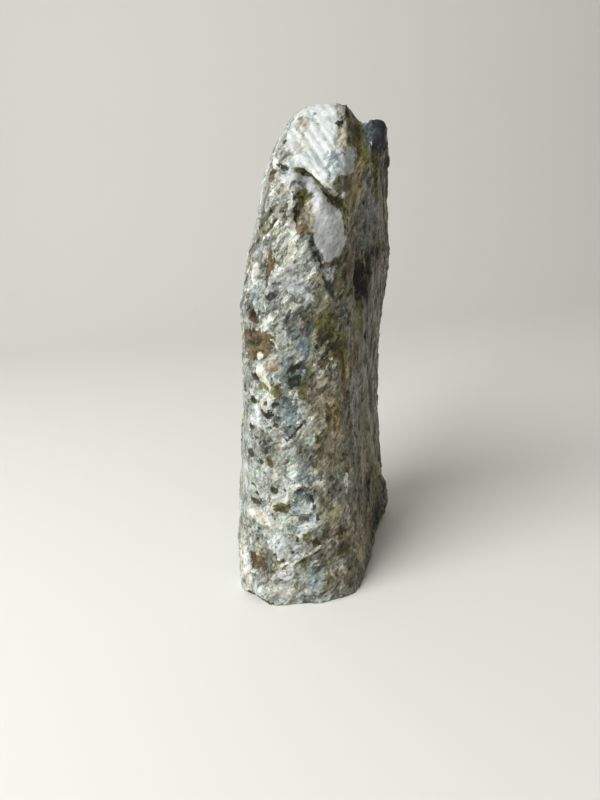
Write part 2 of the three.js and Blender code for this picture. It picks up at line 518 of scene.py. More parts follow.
HOLLOWS = (
    Hollow(FRONT, 0.8, 205.0, 5.0, 9.5, -6.0, depth=-1.4),
    Hollow(FRONT, -8.0, 134.5, 3.5, 3.5, depth=1.2, soft=0.6),
    Hollow(FRONT, -27.0, 144.0, 6.5, 4.5, -10.0, depth=1.4, soft=0.3),
    Hollow(FRONT, -20.0, 181.0, 3.0, 9.0, 22.0, depth=1.0),
    Hollow(FRONT, -39.0, 24.0, 4.5, 5.0, depth=1.1, soft=0.3),
    Hollow(RIGHT, -6.0, 172.0, 12.0, 14.0, 20.0, depth=3.4),
    Hollow(RIGHT, -2.0, 134.0, 1.8, 3.0, depth=1.4, soft=0.6),
    Hollow(BACK, 12.0, 168.0, 14.0, 8.0, 30.0, depth=1.8, soft=0.4),
    Hollow(BACK, -24.0, 62.0, 9.0, 14.0, -15.0, depth=1.6, soft=0.4),
    Hollow(LEFT, -14.0, 96.0, 10.0, 6.0, 20.0, depth=1.5, soft=0.4),
    Hollow(LEFT, 16.0, 196.0, 8.0, 12.0, 10.0, depth=1.6, soft=0.4),
)
GROOVES = (
    Grooves(FRONT, 10.0, 232.0, 13.0, 20.0, -29.0, spacing=3.6, depth=0.55, wander=0.3),
    Grooves(FRONT, -14.0, 200.0, 10.0, 20.0, 46.0, spacing=3.9, depth=0.95),
    Grooves(RIGHT, 34.0, 190.0, 9.0, 56.0, 3.0, spacing=3.8, depth=0.7),
    Grooves(RIGHT, 14.0, 112.0, 27.0, 76.0, -3.0, spacing=5.4, depth=0.7, wander=0.7),
    Grooves(BACK, -18.0, 190.0, 24.0, 46.0, -12.0, spacing=4.6, depth=0.7, wander=1.0),
    Grooves(LEFT, 18.0, 70.0, 20.0, 46.0, 12.0, spacing=5.0, depth=0.5, wander=1.0),
)
FLUTES = GROOVES[2:]  # all but those in front
LEDGES = (
    Ledge(FRONT, (1.5, 223.0), (19.5, 206.5), 2.2, 3.5, lip=0.35),
    Ledge(FRONT, (-9.5, 125.0), (2.5, 130.5), 1.2, 3.5),
    Ledge(FRONT, (-15.0, 97.0), (-8.5, 103.5), 1.1, 4.0),
    Ledge(FRONT, (-19.5, 27.0), (-3.0, 34.5), 2.0, 4.5, lip=0.5),
    Ledge(FRONT, (-31.0, 22.0), (-23.0, 27.5), 1.7, 4.0, lip=0.4),
    Ledge(FRONT, (-20.0, 49.0), (-6.0, 55.5), 1.3, 4.5, lip=0.4),
    Ledge(FRONT, (-15.0, 176.0), (0.0, 188.0), 1.1),
    Ledge(FRONT, (-22.0, 152.0), (-9.0, 160.0), 1.0),
    Ledge(RIGHT, (-30.0, 60.0), (-10.0, 76.0), 1.2, 6.0),
    Ledge(RIGHT, (12.0, 142.0), (34.0, 166.0), 1.2, 6.0),
    Ledge(RIGHT, (6.0, 40.0), (38.0, 30.0), 1.6, 6.0),
    Ledge(BACK, (-34.0, 118.0), (4.0, 134.0), 1.8, 7.0),
    Ledge(BACK, (2.0, 96.0), (36.0, 78.0), 1.6, 7.0),
    Ledge(BACK, (-40.0, 34.0), (-8.0, 26.0), 1.6, 6.0),
    Ledge(BACK, (-20.0, 214.0), (12.0, 206.0), 1.5, 6.0),
    Ledge(LEFT, (-26.0, 150.0), (6.0, 164.0), 1.6, 6.0),
    Ledge(LEFT, (-8.0, 52.0), (26.0, 38.0), 1.6, 6.0),
    Ledge(LEFT, (4.0, 118.0), (30.0, 132.0), 1.4, 6.0),
)

Mark = Patch | Panel | Line


def patches(side: Side, *rows: tuple[float, ...]) -> tuple[Patch, ...]:
    """Makes the patches of one side.

    Args:
        side: The side that they lie on.
        *rows: For each patch its across, up, wide and tall, then its lean, strength and soft if need be.

    Returns:
        The patches, in the same order.
    """
    return tuple(Patch(side, *row) for row in rows)


MARKS: dict[Mineral, tuple[Mark, ...]] = {
    Mineral.SLATE: (
        *patches(
            FRONT,
            (-5, 154, 8, 10, 10, 0.8), (16, 155, 4, 12, 0, 0.95), (7, 68, 4.5, 9, 0, 0.9),
            (-4, 80, 7, 12, 10, 0.6), (-18.5, 193, 3, 2.5, 0, 0.8), (-29, 162, 7, 14, 0, 0.6),
            (-30, 124, 8, 10, 0, 0.5), (-33, 96, 10, 14, 0, 0.52), (-2, 215.5, 5, 2.4, -10, 0.66),
            (-17.5, 159, 2, 2, 0, 0.9), (7.5, 245.5, 1.6, 6, -29, 0.56), (-13, 171, 13, 15, 10, 0.5, 0.8),
            (-31, 108, 10, 10, 0, 0.5, 0.8),
        ),
        *patches(
            RIGHT,
            (12, 196, 12, 20, 0, 0.95), (-37, 154, 5, 10, 0, 0.9), (-20, 98, 9, 26, 0, 0.85),
            (8, 118, 5, 34, 0, 0.7), (-40, 66, 4, 9, 0, 0.9), (-26, 240, 9, 11, 0, 0.75),
        ),
        *patches(BACK, (20, 150, 24, 40, 20, 0.6), (-28, 84, 18, 34, -10, 0.6), (8, 224, 24, 8, 0, 0.6)),
        *patches(
            LEFT,
            (26, 150, 14, 36, 10, 0.56), (-18, 110, 16, 30, -10, 0.56), (-4, 30, 14, 14, 0, 0.55),
            (35, 188, 8, 24, 0, 0.55),
        ),
    ),
    Mineral.LAVENDER: (
        BROW, BROW_TOP, HEAD_CHEEK,
        *patches(
            FRONT,
            (-21.5, 188.5, 3, 4.5, 0, 0.8), (-3, 166, 6, 4, 30, 0.6), (-1.5, 233, 3, 5, -25, 0.6),
        ),
        *patches(
            RIGHT,
            (16, 202, 13, 24, 0, 0.62, 0.8), (33, 186, 6, 46, 0, 0.52, 0.8), (24, 154, 6, 22, 0, 0.6),
        ),
        *patches(BACK, (-10, 222, 20, 14, 10, 0.52), (20, 120, 14, 26, -20, 0.5)),
        *patches(LEFT, (-6, 184, 16, 20, 20, 0.55), (14, 226, 14, 10, 0, 0.5)),
    ),
    Mineral.TEAL: (
        *patches(
            FRONT,
            (-11, 131, 7, 10, 25, 1, 0.35), (-1.5, 153, 4, 7, 0, 0.75), (-11.5, 67, 6.5, 5, 0, 0.64),
            (-13, 55.5, 6.5, 3, 20, 0.95), (-16.5, 113, 6.5, 9, 20, 1, 0.5),
            (-13.5, 105, 6.5, 7, 20, 1, 0.5),
        ),
        *patches(RIGHT, (6, 190, 6, 8, 0, 0.5)),
        *patches(BACK, (24, 70, 9, 16, 20, 0.6), (-6, 42, 12, 7, 20, 0.6)),
        *patches(LEFT, (-2, 124, 8, 12, 30, 0.6), (20, 202, 6, 10, 0, 0.55)),
    ),
    Mineral.TAN: (
        *patches(
            FRONT,
            (-21, 135.3, 4, 3.2), (20.4, 235, 2.2, 5.5, -8, 0.95), (1.6, 204, 3.8, 8),
            (6.5, 118, 7.5, 11, 0, 0.95), (9, 108, 2, 9), (4, 90, 6, 15, 10, 0.95), (11, 98, 3, 16, 0, 0.9),
            (1, 12, 8, 8, 0, 0.95), (8.5, 42, 4, 8, 10, 0.95), (-37, 30.5, 3.2, 3.6, 0, 0.9),
            (1.5, 241, 4, 5, -25, 0.5, 0.9),
        ),
        *patches(
            RIGHT,
            (-36, 242, 3, 6, 0, 0.9), (-34, 190, 4, 4, 0, 0.9), (-9, 60, 9, 14, 0, 0.9),
            (-36, 108, 3.5, 26, 0, 0.8), (-44, 40, 6, 12, 0, 0.9), (-32, 28, 8, 20, 0, 0.85),
            (34, 215, 3, 20, 0, 0.7), (31, 172, 4.6, 56, 0, 0.58), (19, 148, 3, 22, 0, 0.7),
            (-9, 128, 3, 24, 0, 0.7), (14, 74, 3, 24, 0, 0.7), (20, 150, 8, 24, 0, 0.62),
        ),
        *patches(BACK, (16, 62, 22, 26, 15, 0.58), (-22, 112, 16, 20, -10, 0.55)),
        *patches(LEFT, (10, 44, 22, 14, -20, 0.57), (-30, 190, 12, 22, 0, 0.57), (2, 156, 12, 10, 20, 0.52)),
    ),
    Mineral.OLIVE: (
        *patches(
            FRONT,
            # The third patch here, along the head's ledge lip, is painted shadow.
            (-26.5, 140.6, 7, 2.2), (1, 210.8, 4.2, 3.4, 0, 1, 0.4), (14.5, 209, 1.8, 3.4, -46, 0.9),
            (7.5, 151, 6, 9), (10.5, 141, 7, 8), (13.5, 135, 4, 6, 0, 0.9), (-5.5, 122.8, 3, 4.2),
            (-20, 123, 3.8, 4, 0, 0.85), (-26, 124, 2, 2, 0, 0.8), (0, 96.5, 2.4, 2.2, 0, 0.8),
            (-23, 59.5, 4.6, 3, 10), (-10.2, 41.5, 1.8, 6), (-6, 38, 3, 2.6, 30, 0.9),
            (-15.5, 41, 1.6, 3, 0, 0.8), (-14, 27, 4, 3, 0, 0.7), (-19, 12, 2, 3, 0, 0.7),
            (-16, 184, 7, 7, 30, 0.46, 0.8), (21.4, 201.5, 2.8, 9.5, 0, 1, 0.4),
        ),
        *patches(
            RIGHT,
            (-29, 236, 8, 11, 0, 0.62), (-25, 225, 8, 5), (-27.5, 197.5, 11.5, 9, 0, 1, 0.35),
            (-29.5, 187, 2.6, 2.6), (-30, 170, 8, 10), (-12, 150, 9, 14), (22, 177, 8, 5),
            (24, 220, 3, 16, 0, 0.9), (20, 96, 5, 9, 0, 0.9), (-4, 92, 4, 16, 0, 0.8),
            (2, 66, 3, 16, 0, 0.8), (24, 34, 14, 13), (-20, 40, 3, 16, 0, 0.8),
        ),
        *patches(BACK, (-8, 182, 12, 38, -25, 0.62), (32, 104, 9, 34, 10, 0.62), (-34, 44, 10, 18, 0, 0.6)),
        *patches(LEFT, (20, 186, 9, 26, 0, 0.62), (-24, 66, 12, 16, 30, 0.58), (-8, 206, 10, 8, 40, 0.55)),
        # Painted shadow: the dark line under the head's ledge lip.
        Line(FRONT, ((-1, 222.6), (4.6, 219.8), (9.6, 214), (13.4, 209.3), (18.2, 204.6)), 1.4, 1, 0.3),
        Line(FRONT, ((-19, 196), (-12, 203), (-6.5, 210.5)), 1.1, 0.8, 0.9),
        Line(FRONT, ((-21.5, 198), (-16, 206), (-8, 217)), 1, 0.75, 0.9),
        Line(FRONT, ((-14, 194), (-8, 199)), 0.9, 0.75, 1.1),
        # Painted shadow: these two lines darken beside the low ledges in front.
        Line(FRONT, ((-31.5, 24), (-24.5, 30.5)), 1.1, 0.95, 0.6),
        Line(FRONT, ((-30, 14.5), (-23, 22)), 1, 0.9, 0.6),
    ),
    Mineral.OCHRE: (
        *patches(
            FRONT,
            (9.4, 106, 2.1, 12, 0, 0.8), (-32.4, 116.8, 1.8, 1.6), (26, 212.5, 3.2, 7, 0, 0.62),
            (22.5, 207, 2.8, 4, 0, 0.7), (6.8, 103, 2.4, 10, 0, 0.56),
        ),
        *patches(
            RIGHT,
            (-15, 215, 17, 8, 0, 1, 0.4), (-30.5, 207.5, 4, 4), (-27, 221, 5.5, 4, 0, 0.9),
            (-33, 128, 3.5, 9, 0, 0.9), (-30, 16, 8, 6, 0, 0.6), (28, 40, 6, 8, 0, 0.9),
            (-10, 54, 6, 5, 0, 0.8), (-31, 199, 5, 8, 0, 0.52),
        ),
        *patches(BACK, (16, 192, 11, 20, 20, 0.58), (-14, 150, 8, 18, -20, 0.55)),
        *patches(LEFT, (18, 62, 16, 14, 0, 0.52), (-34, 176, 9, 16, 0, 0.55)),
    ),
    Mineral.BLUE: (
        *patches(
            FRONT,
            (15, 224, 4, 6, 0, 0.8), (-25.5, 169, 2.8, 4, 0, 0.95), (-4.5, 142.5, 3.8, 5.6),
            (-8, 151, 3, 3, 0, 0.7), (-18, 113.5, 4, 3.4, 20, 0.9), (-13, 108, 4.4, 4.6, 20, 0.5),
            (-13, 59.5, 4.5, 3, 10), (-8, 13, 4.5, 4.5, 0, 0.9), (-9, 79, 4, 6, 0, 0.7),
        ),
        *patches(RIGHT, (-22, 234.5, 2.2, 5)),
        *patches(BACK, (6, 46, 16, 9, 20, 0.55), (-4, 100, 12, 9, 20, 0.5)),
        *patches(LEFT, (2, 134, 10, 16, 30, 0.56), (28, 36, 12, 9, 0, 0.5)),
    ),
    Mineral.RUST: (
        *patches(
            FRONT,
            (-15.5, 41.5, 1.4, 2.6, 0, 0.9), (-24, 59.3, 4, 2.6, 10, 0.8), (4.5, 134, 3, 3, 0, 0.9),
            (12.5, 139, 4, 5, 0, 0.9), (-2.6, 201, 1.6, 6, 0, 0.9), (0, 197, 2.2, 2.4, 0, 0.9),
            (-8.8, 203, 1.6, 5, 10, 0.85), (-18, 181, 1.9, 7, 15), (-12, 221, 2.2, 3),
            (-28, 158, 2, 4, -20), (-27.6, 146, 9.2, 6.4, -8, 1, 0.35), (-30.5, 140, 3.4, 3, 0, 0.95),
            (-29, 129.5, 1.5, 2.2), (-31.5, 117, 2.4, 1.8), (4.2, 132, 2.2, 3), (4.8, 109.5, 1.8, 8),
            (-26.5, 83.5, 1.6, 1.5), (-36, 87, 1.8, 2.6, 0, 0.9), (9, 28.5, 3.4, 5),
            (7.5, 38, 1.6, 5, 0, 0.9), (-39.6, 23.6, 5.4, 5.6, 0, 1, 0.3), (8.6, 106, 1.5, 9, 0, 0.6),
        ),
        *patches(
            RIGHT,
            (-23, 135, 3, 12, 0, 0.9), (-33, 176, 4, 6, 0, 0.9), (-37, 116, 1.4, 20),
            (-30, 126, 2.4, 8, 0, 0.9), (-12, 22, 10, 12, 0, 0.9), (22, 62, 4, 12, 0, 0.8),
            (-45, 33, 4, 9, 0, 0.55), (-28, 176, 9, 13, 0, 0.62, 0.8), (17, 172, 15, 8, -8, 0.62, 0.8),
        ),
        *patches(BACK, (-14, 130, 12, 8, -30, 0.62), (28, 192, 6, 18, 10, 0.6), (20, 84, 7, 14, 20, 0.56)),
        *patches(LEFT, (24, 104, 8, 14, 20, 0.58), (2, 74, 6, 12, -20, 0.56), (-32, 168, 6, 12, 0, 0.58)),
    ),
    Mineral.WHITE: (
        *patches(
            FRONT,
            (-7, 172, 3.4, 3.4, 0, 0.8), (-5, 170.5, 3, 3, 0, 0.95), (-9.5, 178, 4, 5, 20, 0.7),
            (10.5, 178, 3.6, 6, 0, 0.7), (0, 178, 5, 6, 30, 0.6), (-31, 108, 4, 6, 0, 0.8),
            (-12.5, 48, 6.5, 2.8, 15), (-7.8, 51.5, 1.5, 3.4, 15), (-24, 36, 8.5, 6, 30, 0.9),
            (-24, 19, 5, 2.4, 40, 0.9), (-45.5, 20, 2.6, 10, 0, 0.9), (12, 47, 1.4, 6, 0, 0.7),
        ),
        *patches(BACK, (-20, 30, 18, 12, 0, 0.5), (4, 118, 24, 9, 12, 0.52), (-28, 200, 12, 24, -12, 0.48)),
        *patches(LEFT, (22, 80, 20, 40, 0, 0.47), (10, 212, 16, 18, 0, 0.5), (-12, 146, 12, 22, 0, 0.48)),
    ),
    Mineral.CREAM: (
        *patches(
            FRONT,
            # The first patch here is a painted glint.
            (-6.4, 189, 2, 5, 15, 1, 0.4), (2, 234, 2, 4, -20, 0.7), (-8.8, 184.6, 1.8, 2.4, 20),
            # The second patch here is a painted glint.
            (-5.9, 211.9, 1, 1.2), (-25.3, 179.5, 1.6, 5), (-10.5, 226, 1.8, 2.5, 0, 0.9),
            (1.4, 176, 2, 3, 30, 0.9), (-12, 214, 1.6, 2.2, 0, 0.9), (-26.2, 140, 1.6, 1.4, 0, 1, 0.4),
            # The last patch here is a painted glint.
            (-26, 131.5, 2.4, 4.6, -8, 0.9), (-24.5, 127, 1.2, 4, -20), (0, 99.5, 2.2, 1.2, 0, 0.9),
            (0, 133.5, 1, 0.9, 0, 1, 0.4), (12.2, 67, 1.3, 5.5, 0, 0.65), (-35.5, 52, 5, 4.5, 0, 0.9),
            (-46.5, 12, 2.2, 10, 0, 0.95), (-27, 9, 7, 3.5, 0, 0.9), (-6, 25, 1.6, 0.9, 0, 0.9),
        ),
        *patches(LEFT, (30, 30, 10, 14, 0, 0.6), (-14, 90, 10, 6, 20, 0.55)),
        # Painted highlight: the bright edge of the head's ledge lip.
        Line(FRONT, ((4.5, 222), (10, 216.5), (15.6, 210.6)), 1, 0.9, 0.3),
        Line(FRONT, ((-17.5, 201.5), (-11.5, 208), (-6.5, 214)), 0.9, 0.7, 1),
        Line(FRONT, ((-20, 193), (-13, 200), (-9, 204.5)), 0.9, 0.65, 1),
        # Painted glint on the rust patch.
        Line(FRONT, ((-19.5, 147.5), (-17, 142)), 1.2, 1, 0.3),
        Line(FRONT, ((-7.5, 104.5), (-12.5, 97.5)), 0.9, 1, 0.4),
        # Painted highlights: these two lines are the bright edges of the low ledges in front.
        Line(FRONT, ((-20.5, 26.5), (-11, 31.5), (-4, 35.5)), 1.15, 1, 0.5),
        Line(FRONT, ((-31, 20.5), (-22.5, 28)), 1.3, 0.9, 0.5),
        Line(BACK, ((-8, 103), (6, 111), (22, 116)), 0.8, 0.6, 1.4),
    ),
    Mineral.DARK: (
        *patches(
            FRONT,
            (18.4, 240.4, 2, 1.6, 0, 0.7), (-18.6, 169.1, 2.2, 1.6), (-8.4, 134.6, 1.9, 2.2, 0, 0.9),
            (-25, 111, 2.2, 2.6, 0, 0.8), (-14.5, 207, 1, 1.4, 0, 0.7), (-8, 225, 2.6, 1.2, 20, 0.8),
            # The second patch here, low at the front's left end, is painted shadow under the raised toe.
            (-5.4, 235, 2, 1.2, 0, 0.8), (-41, 2, 8, 2, 0, 0.9), (-10.5, 130, 4, 6.5, 15, 0.62),
            (-29, 145.5, 4.5, 2.6, -8, 0.56), (9, 144, 5, 7, 0, 0.5),
        ),
        *patches(
            RIGHT,
            # The second and third patches here are painted shadow in the right-hand hollow.
            (33, 238, 4, 9, 0, 0.8), (-6, 170, 17, 14, 20, 1, 0.6), (-14, 182, 10, 8, 0, 1, 0.6),
            (4, 160, 6, 10, 0, 0.7, 0.8), (20, 176.5, 14, 5.5, -10, 0.7, 0.8), (0, 134.8, 2.4, 3.4),
            # The second patch here, low on the right, is painted shadow under the overhanging foot.
            (38, 226, 2, 5, 0, 0.9), (12, 14, 18, 10, 0, 0.75, 0.8), (-1, 40, 3, 12, 0, 0.7),
        ),
        *patches(BACK, (-30, 140, 5, 20, -20, 0.58)),
        *patches(LEFT, (8, 98, 4, 12, 10, 0.55)),
        # Painted shade: this line darkens the left wall of the head hollow.
        Line(FRONT, ((-3.4, 213), (-3.2, 206), (-3.4, 199)), 1, 0.8, 0.5),
        Line(FRONT, ((-16.5, 97), (-8.5, 105)), 1, 0.9, 0.7),
    ),
    Mineral.NAVY: (
        *patches(
            FRONT,
            (45, 241, 8, 9), (5.4, 186.1, 1.4, 1.3, 0, 1, 0.4), (9.2, 170.5, 1.2, 2, -20, 1, 0.4),
        ),
        *patches(RIGHT, (27, 238.5, 8, 9)),
        Line(FRONT, VEIN, 0.62, 1, 1.3),
        Line(FRONT, ((-6.6, 67), (-5.6, 60), (-4.2, 52)), 0.9, 1, 0.9),
        Line(BACK, ((-22, 206), (-12, 186), (-10, 160), (2, 140)), 0.8, 0.8, 1.4),
        Line(LEFT, ((-16, 90), (-2, 76), (8, 50)), 0.7, 0.75, 1.5),
    ),
}
PITS = tuple(
    Spot(FRONT, *row)
    for row in (
        (-32.4, 116.8, 1.7, 1.4), (-27.7, 111.4, 1.2, 1.6), (-20.7, 116.2, 1.3, 1), (-34.1, 101, 1.6, 1.2),
        (-21.9, 104.2, 1.4, 1.3), (-33, 96.4, 1, 1), (-29.4, 95, 1.2, 1), (-36.7, 86.8, 1.8, 2.2),
        (-31, 84.1, 1.2, 1.3), (-26.7, 85.4, 1.3, 1.6), (-37.6, 68.5, 1.3, 1), (-26.7, 69.9, 1.7, 1.9),
        (-21.1, 69.1, 1.2, 0.9), (-36.9, 59.4, 2.6, 1.4), (-36.5, 64, 0.9, 0.9), (-36.8, 44.2, 0.9, 0.9),
        (-29, 129.5, 1.2, 1.7), (-28, 158, 1.4, 3.3),
    )
)


@dataclass(frozen=True)
class FlatMap:
    """The flat map of the stone: its sides unrolled as one sheet, and above that its foot, top and fin tip.

    Attributes:
        place: The mesh's own note of where its surface was before the relief.
        looks: Its note of which way the surface looked.
        name: What the map is called.
        sheet: How much of the map's height the sides take.
        margin: How much is left free along each edge.
        scale: How much of the map one millimetre of the foot, the top or the fin tip takes.
        head: The height above which faces that look up belong to the top, in millimetres.
        heel: The height below which faces that look down belong to the foot.
        cleft: The height above which the fin's tip stands free.
        fin: The middle of the fin's tip.
    """

    place: ClassVar[str] = "rest_place"
    looks: ClassVar[str] = "rest_normal"

    name: str = "OFBake"
    sheet: float = 0.725
    margin: float = 0.012
    scale: float = 0.0023
    head: float = 225.0
    heel: float = 15.0
    cleft: float = 233.0
    fin: tuple[float, float, float] = (45.0, 38.0, 247.0)

    def lay(self, mesh: bpy.types.Mesh) -> None:
        """Makes the map from where the stone's surface was before its relief.

        Args:
            mesh: The finished mesh, which still has its notes of that.
        """
        corners = np.empty(len(mesh.loops), np.int32)
        sides = np.empty(len(mesh.polygons), np.int32)
        mesh.loops.foreach_get("vertex_index", corners)
        mesh.polygons.foreach_get("loop_total", sides)
        face = np.repeat(np.arange(len(sides)), sides)
        first = np.repeat(np.cumsum(sides) - sides, sides)
        points, looks = (self._take(mesh, name)[corners] for name in (self.place, self.looks))
        middle, normal = (
            np.stack([np.bincount(face, part) / sides for part in values.T], axis=1)[face]
            for values in (points, looks)
        )
        spots = self._sides(points, first)
        top = (normal[:, 2] > 0.62) & (middle[:, 2] > self.head)
        foot = (normal[:, 2] < -0.7) & (middle[:, 2] < self.heel)
        beside = 0.8 * (middle[:, 0] - 34.0) + 0.5 * (middle[:, 1] - 25.0)
        fin = (beside > 0.0) & (middle[:, 2] > self.cleft) & ~top
        spots[top] = self._above_sides(0.32, (14.0, 40.0)) + self.scale * points[top, :2]
        mirrored = points[foot, :2] * (-1.0, 1.0)
        spots[foot] = self._above_sides(self.margin, (56.0, 56.0)) + self.scale * mirrored
        spots[fin] = self._fin_tip(points[fin])
        flat = mesh.uv_layers.new(name=self.name)
        flat.data.foreach_set("uv", spots.astype(np.float32).ravel())

    def _above_sides(self, left: float, corner: tuple[float, float]) -> np.ndarray:
        """Finds where on the map the middle of the foot or the top comes to lie.

        Args:
            left: Where its left edge lies on the map.
            corner: How far its middle is from its lower left corner, in millimetres.

        Returns:
            The place on the map.
        """
        return np.array((left, self.sheet + 2.0 * self.margin)) + self.scale * np.array(corner)

    def _take(self, mesh: bpy.types.Mesh, name: str) -> np.ndarray:
        """Reads one of the mesh's notes and takes it off.

        Args:
            mesh: The mesh.
            name: The note.

        Returns:
            What it says at each point, one row each.
        """
        layer = mesh.attributes[name]
        values = np.empty(len(mesh.vertices) * 3, np.float32)
        layer.data.foreach_get("vector", values)
        mesh.attributes.remove(layer)
        return values.reshape(-1, 3).astype(float)

    def _sides(self, points: np.ndarray, first: np.ndarray) -> np.ndarray:
        """Unrolls the sides about the middle of the leaning stone, with the seam at the back.

        Args:
            points: Where each corner of each face is.
            first: For each corner, the first corner of its face.

        Returns:
            A place on the map for each corner.
        """
        across = points[:, 0] + 4.0 - 0.084 * points[:, 2]
        turn = np.arctan2(across, -points[:, 1] - 2.0)
        start = turn[first]
        turn = start + (turn - start + math.pi) % (2.0 * math.pi) - math.pi
        right = 0.5 + turn / (2.0 * math.pi) * (1.0 - 2.0 * self.margin)
        return np.stack([right, self.margin + points[:, 2] / 250.0 * (self.sheet - self.margin)], axis=1)

    def _fin_tip(self, points: np.ndarray) -> np.ndarray:
        """Spreads the fin's tip out like a flattened cap.

        Args:
            points: Where each of its corners is.

        Returns:
            A place on the map for each corner.
        """
        across, along, down = (points - self.fin).T
        reach = np.hypot(across, along)
        out = (1.0 - np.clip(down, None, 0.0) / np.maximum(reach, 0.1))[:, None]
        middle = np.array((0.72, self.sheet + 0.14))
        return middle + self.scale * out * np.stack([across, along], axis=1)


@dataclass
class StoneBlock:
    """The whole stone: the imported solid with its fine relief, its mineral masks and its flat map.

    Attributes:
        name: What the piece is called.
        voxel: How fine the surface is built, in millimetres.
        easing: How often the built surface is smoothed before its relief.
        faces: About how many triangles the finished piece keeps.
        seed: Chooses the noise.
        bed: How high up the relief reaches its full depth, so that the foot stays flat.
        chips: For each size of chip how wide it is, how proud it stands, and which stretch of noise it reads.
        grain_width: How wide the finest relief is.
        grain_depth: How deep it is.
        crack_spacing: About how far apart the winding cracks are.
        crack_depth: How deep they are.
        pit_spacing: How far apart the small pits are where the stone is full of them.
        pit_depth: How deep a pit is.
        wear: How much of its roughness a smooth place has lost, from 0 to 1.
        setback: How far the rough skin lies below the solid's own surface.
        masks: The masks that the mesh keeps for its material, by name.
    """

    name: str = "soapstone_skin"
    voxel: float = 0.95
    easing: int = 6
    faces: int = 190_000
    seed: int = 41
    bed: float = 2.5
    chips: tuple[tuple[float, float, float], ...] = ((10.0, 1.3, 0.0), (5.0, 0.6, 60.0))
    grain_width: float = 2.8
    grain_depth: float = 0.3
    crack_spacing: float = 17.0
    crack_depth: float = 0.45
    pit_spacing: float = 4.5
    pit_depth: float = 0.95
    wear: float = 0.85
    setback: float = 0.5
    masks: dict[str, np.ndarray] = field(default_factory=dict)

    def build(self, solid: bpy.types.Object) -> bpy.types.Object:
        """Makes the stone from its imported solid.

        Args:
            solid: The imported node, which stays as it is.

        Returns:
            The new piece.
        """
        piece = self._fine_copy(solid)
        skin = self._read(piece)
        depth = self._relief(skin)
        moved = skin.points - skin.normals * depth[:, None]
        low, high = (np.array(corner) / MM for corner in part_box(NODE))
        moved = np.clip(moved, low, high)
        piece.data.vertices.foreach_set("co", (moved * MM).astype(np.float32).ravel())
        for name, mask in self.masks.items():
            layer = piece.data.attributes.new(name, "FLOAT", "POINT")
            layer.data.foreach_set("value", mask.astype(np.float32))
        for name, rest in ((FlatMap.place, skin.points), (FlatMap.looks, skin.normals)):
            layer = piece.data.attributes.new(name, "FLOAT_VECTOR", "POINT")
            layer.data.foreach_set("vector", rest.astype(np.float32).ravel())
        self._lighten(piece)
        FlatMap().lay(piece.data)
        return piece

    def _fine_copy(self, solid: bpy.types.Object) -> bpy.types.Object:
        """Copies the solid as one even, finely divided surface with its facets eased away.

        Args:
            solid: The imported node.

        Returns:
            The copy.
        """
        coarse = bpy.data.objects.new(self.name, solid.data.copy())
        bpy.context.scene.collection.objects.link(coarse)
        weld = coarse.modifiers.new("weld", "WELD")
        weld.merge_threshold = 0.01 * MM
        even = coarse.modifiers.new("even", "REMESH")
        even.mode = "VOXEL"
        even.voxel_size = self.voxel * MM
        ease = coarse.modifiers.new("ease", "SMOOTH")
        ease.factor = 0.5
        ease.iterations = self.easing
        return self._applied(coarse)

    def _applied(self, piece: bpy.types.Object) -> bpy.types.Object:
        """Turns a piece's modifiers into its own mesh.

        Args:
            piece: The piece.

        Returns:
            The same piece.
        """
        graph = bpy.context.evaluated_depsgraph_get()
        mesh = bpy.data.meshes.new_from_object(piece.evaluated_get(graph))
        piece.modifiers.clear()
        old, piece.data = piece.data, mesh
        bpy.data.meshes.remove(old)
        mesh.name = self.name
        return piece

    def _read(self, piece: bpy.types.Object) -> Skin:
        """Reads the smooth surface into arrays.

        Args:
            piece: The finely divided stone, before its relief.

        Returns:
            Its points and normals, and the noise to use on them.
        """
        mesh = piece.data
        points = np.empty(len(mesh.vertices) * 3, np.float32)
        normals = np.empty_like(points)
        mesh.vertices.foreach_get("co", points)
        mesh.vertex_normals.foreach_get("vector", normals)
        return Skin(
            points.reshape(-1, 3).astype(float) / MM,
            normals.reshape(-1, 3).astype(float),
            StoneNoise(self.seed),
        )

    def _relief(self, skin: Skin) -> np.ndarray:
        """Works out how far each point is set back, and keeps the masks that go with it.

        Args:
            skin: The smooth stone.

        Returns:
            The depth below the smooth surface at each point, in millimetres.
        """
        points = skin.points
        hollowed = sum(hollow.sink(skin) for hollow in HOLLOWS)
        stepped = sum(ledge.sink(skin) for ledge in LEDGES)
        grooved = sum(grooves.sink(skin) for grooves in GROOVES)
        fluted = np.max([flutes.cover(skin, 0.6) for flutes in FLUTES], axis=0)
        sawn = HEAD_FACE.cover(skin)
        level = np.maximum(BROW.cover(skin), BROW_TOP.cover(skin))
        smooth = np.max([sawn, 0.9 * level, 0.8 * HEAD_CHEEK.cover(skin), 0.5 * fluted], axis=0)
        rough = 1.0 - self.wear * smooth
        pits = self._pits(skin)
        fine = grooved + rough * self._broken(skin) + self.pit_depth * pits
        depth = hollowed + stepped + fine + self.setback * rough
        footing = smoothstep(0.0, self.bed, points[:, 2])
        flat = smoothstep(-0.9, -0.6, skin.normals[:, 2])
        self.masks["pit"] = pits
        # The sunk mask is high in pits, grooves, cracks and under ledges; the finish turns it into painted
        # shade there and a little painted light on proud points.
        self.masks["sunk"] = np.clip(0.5 + 0.35 * (fine + 0.5 * np.clip(stepped, -0.3, 1.0)), 0.0, 1.0)
        self.masks["fluted"] = fluted
        self.masks["sawn"] = sawn
        self.masks["even"] = np.maximum(sawn, level)
        self._minerals(skin)
        return depth * footing * np.where(points[:, 2] < 6.0, flat, 1.0)

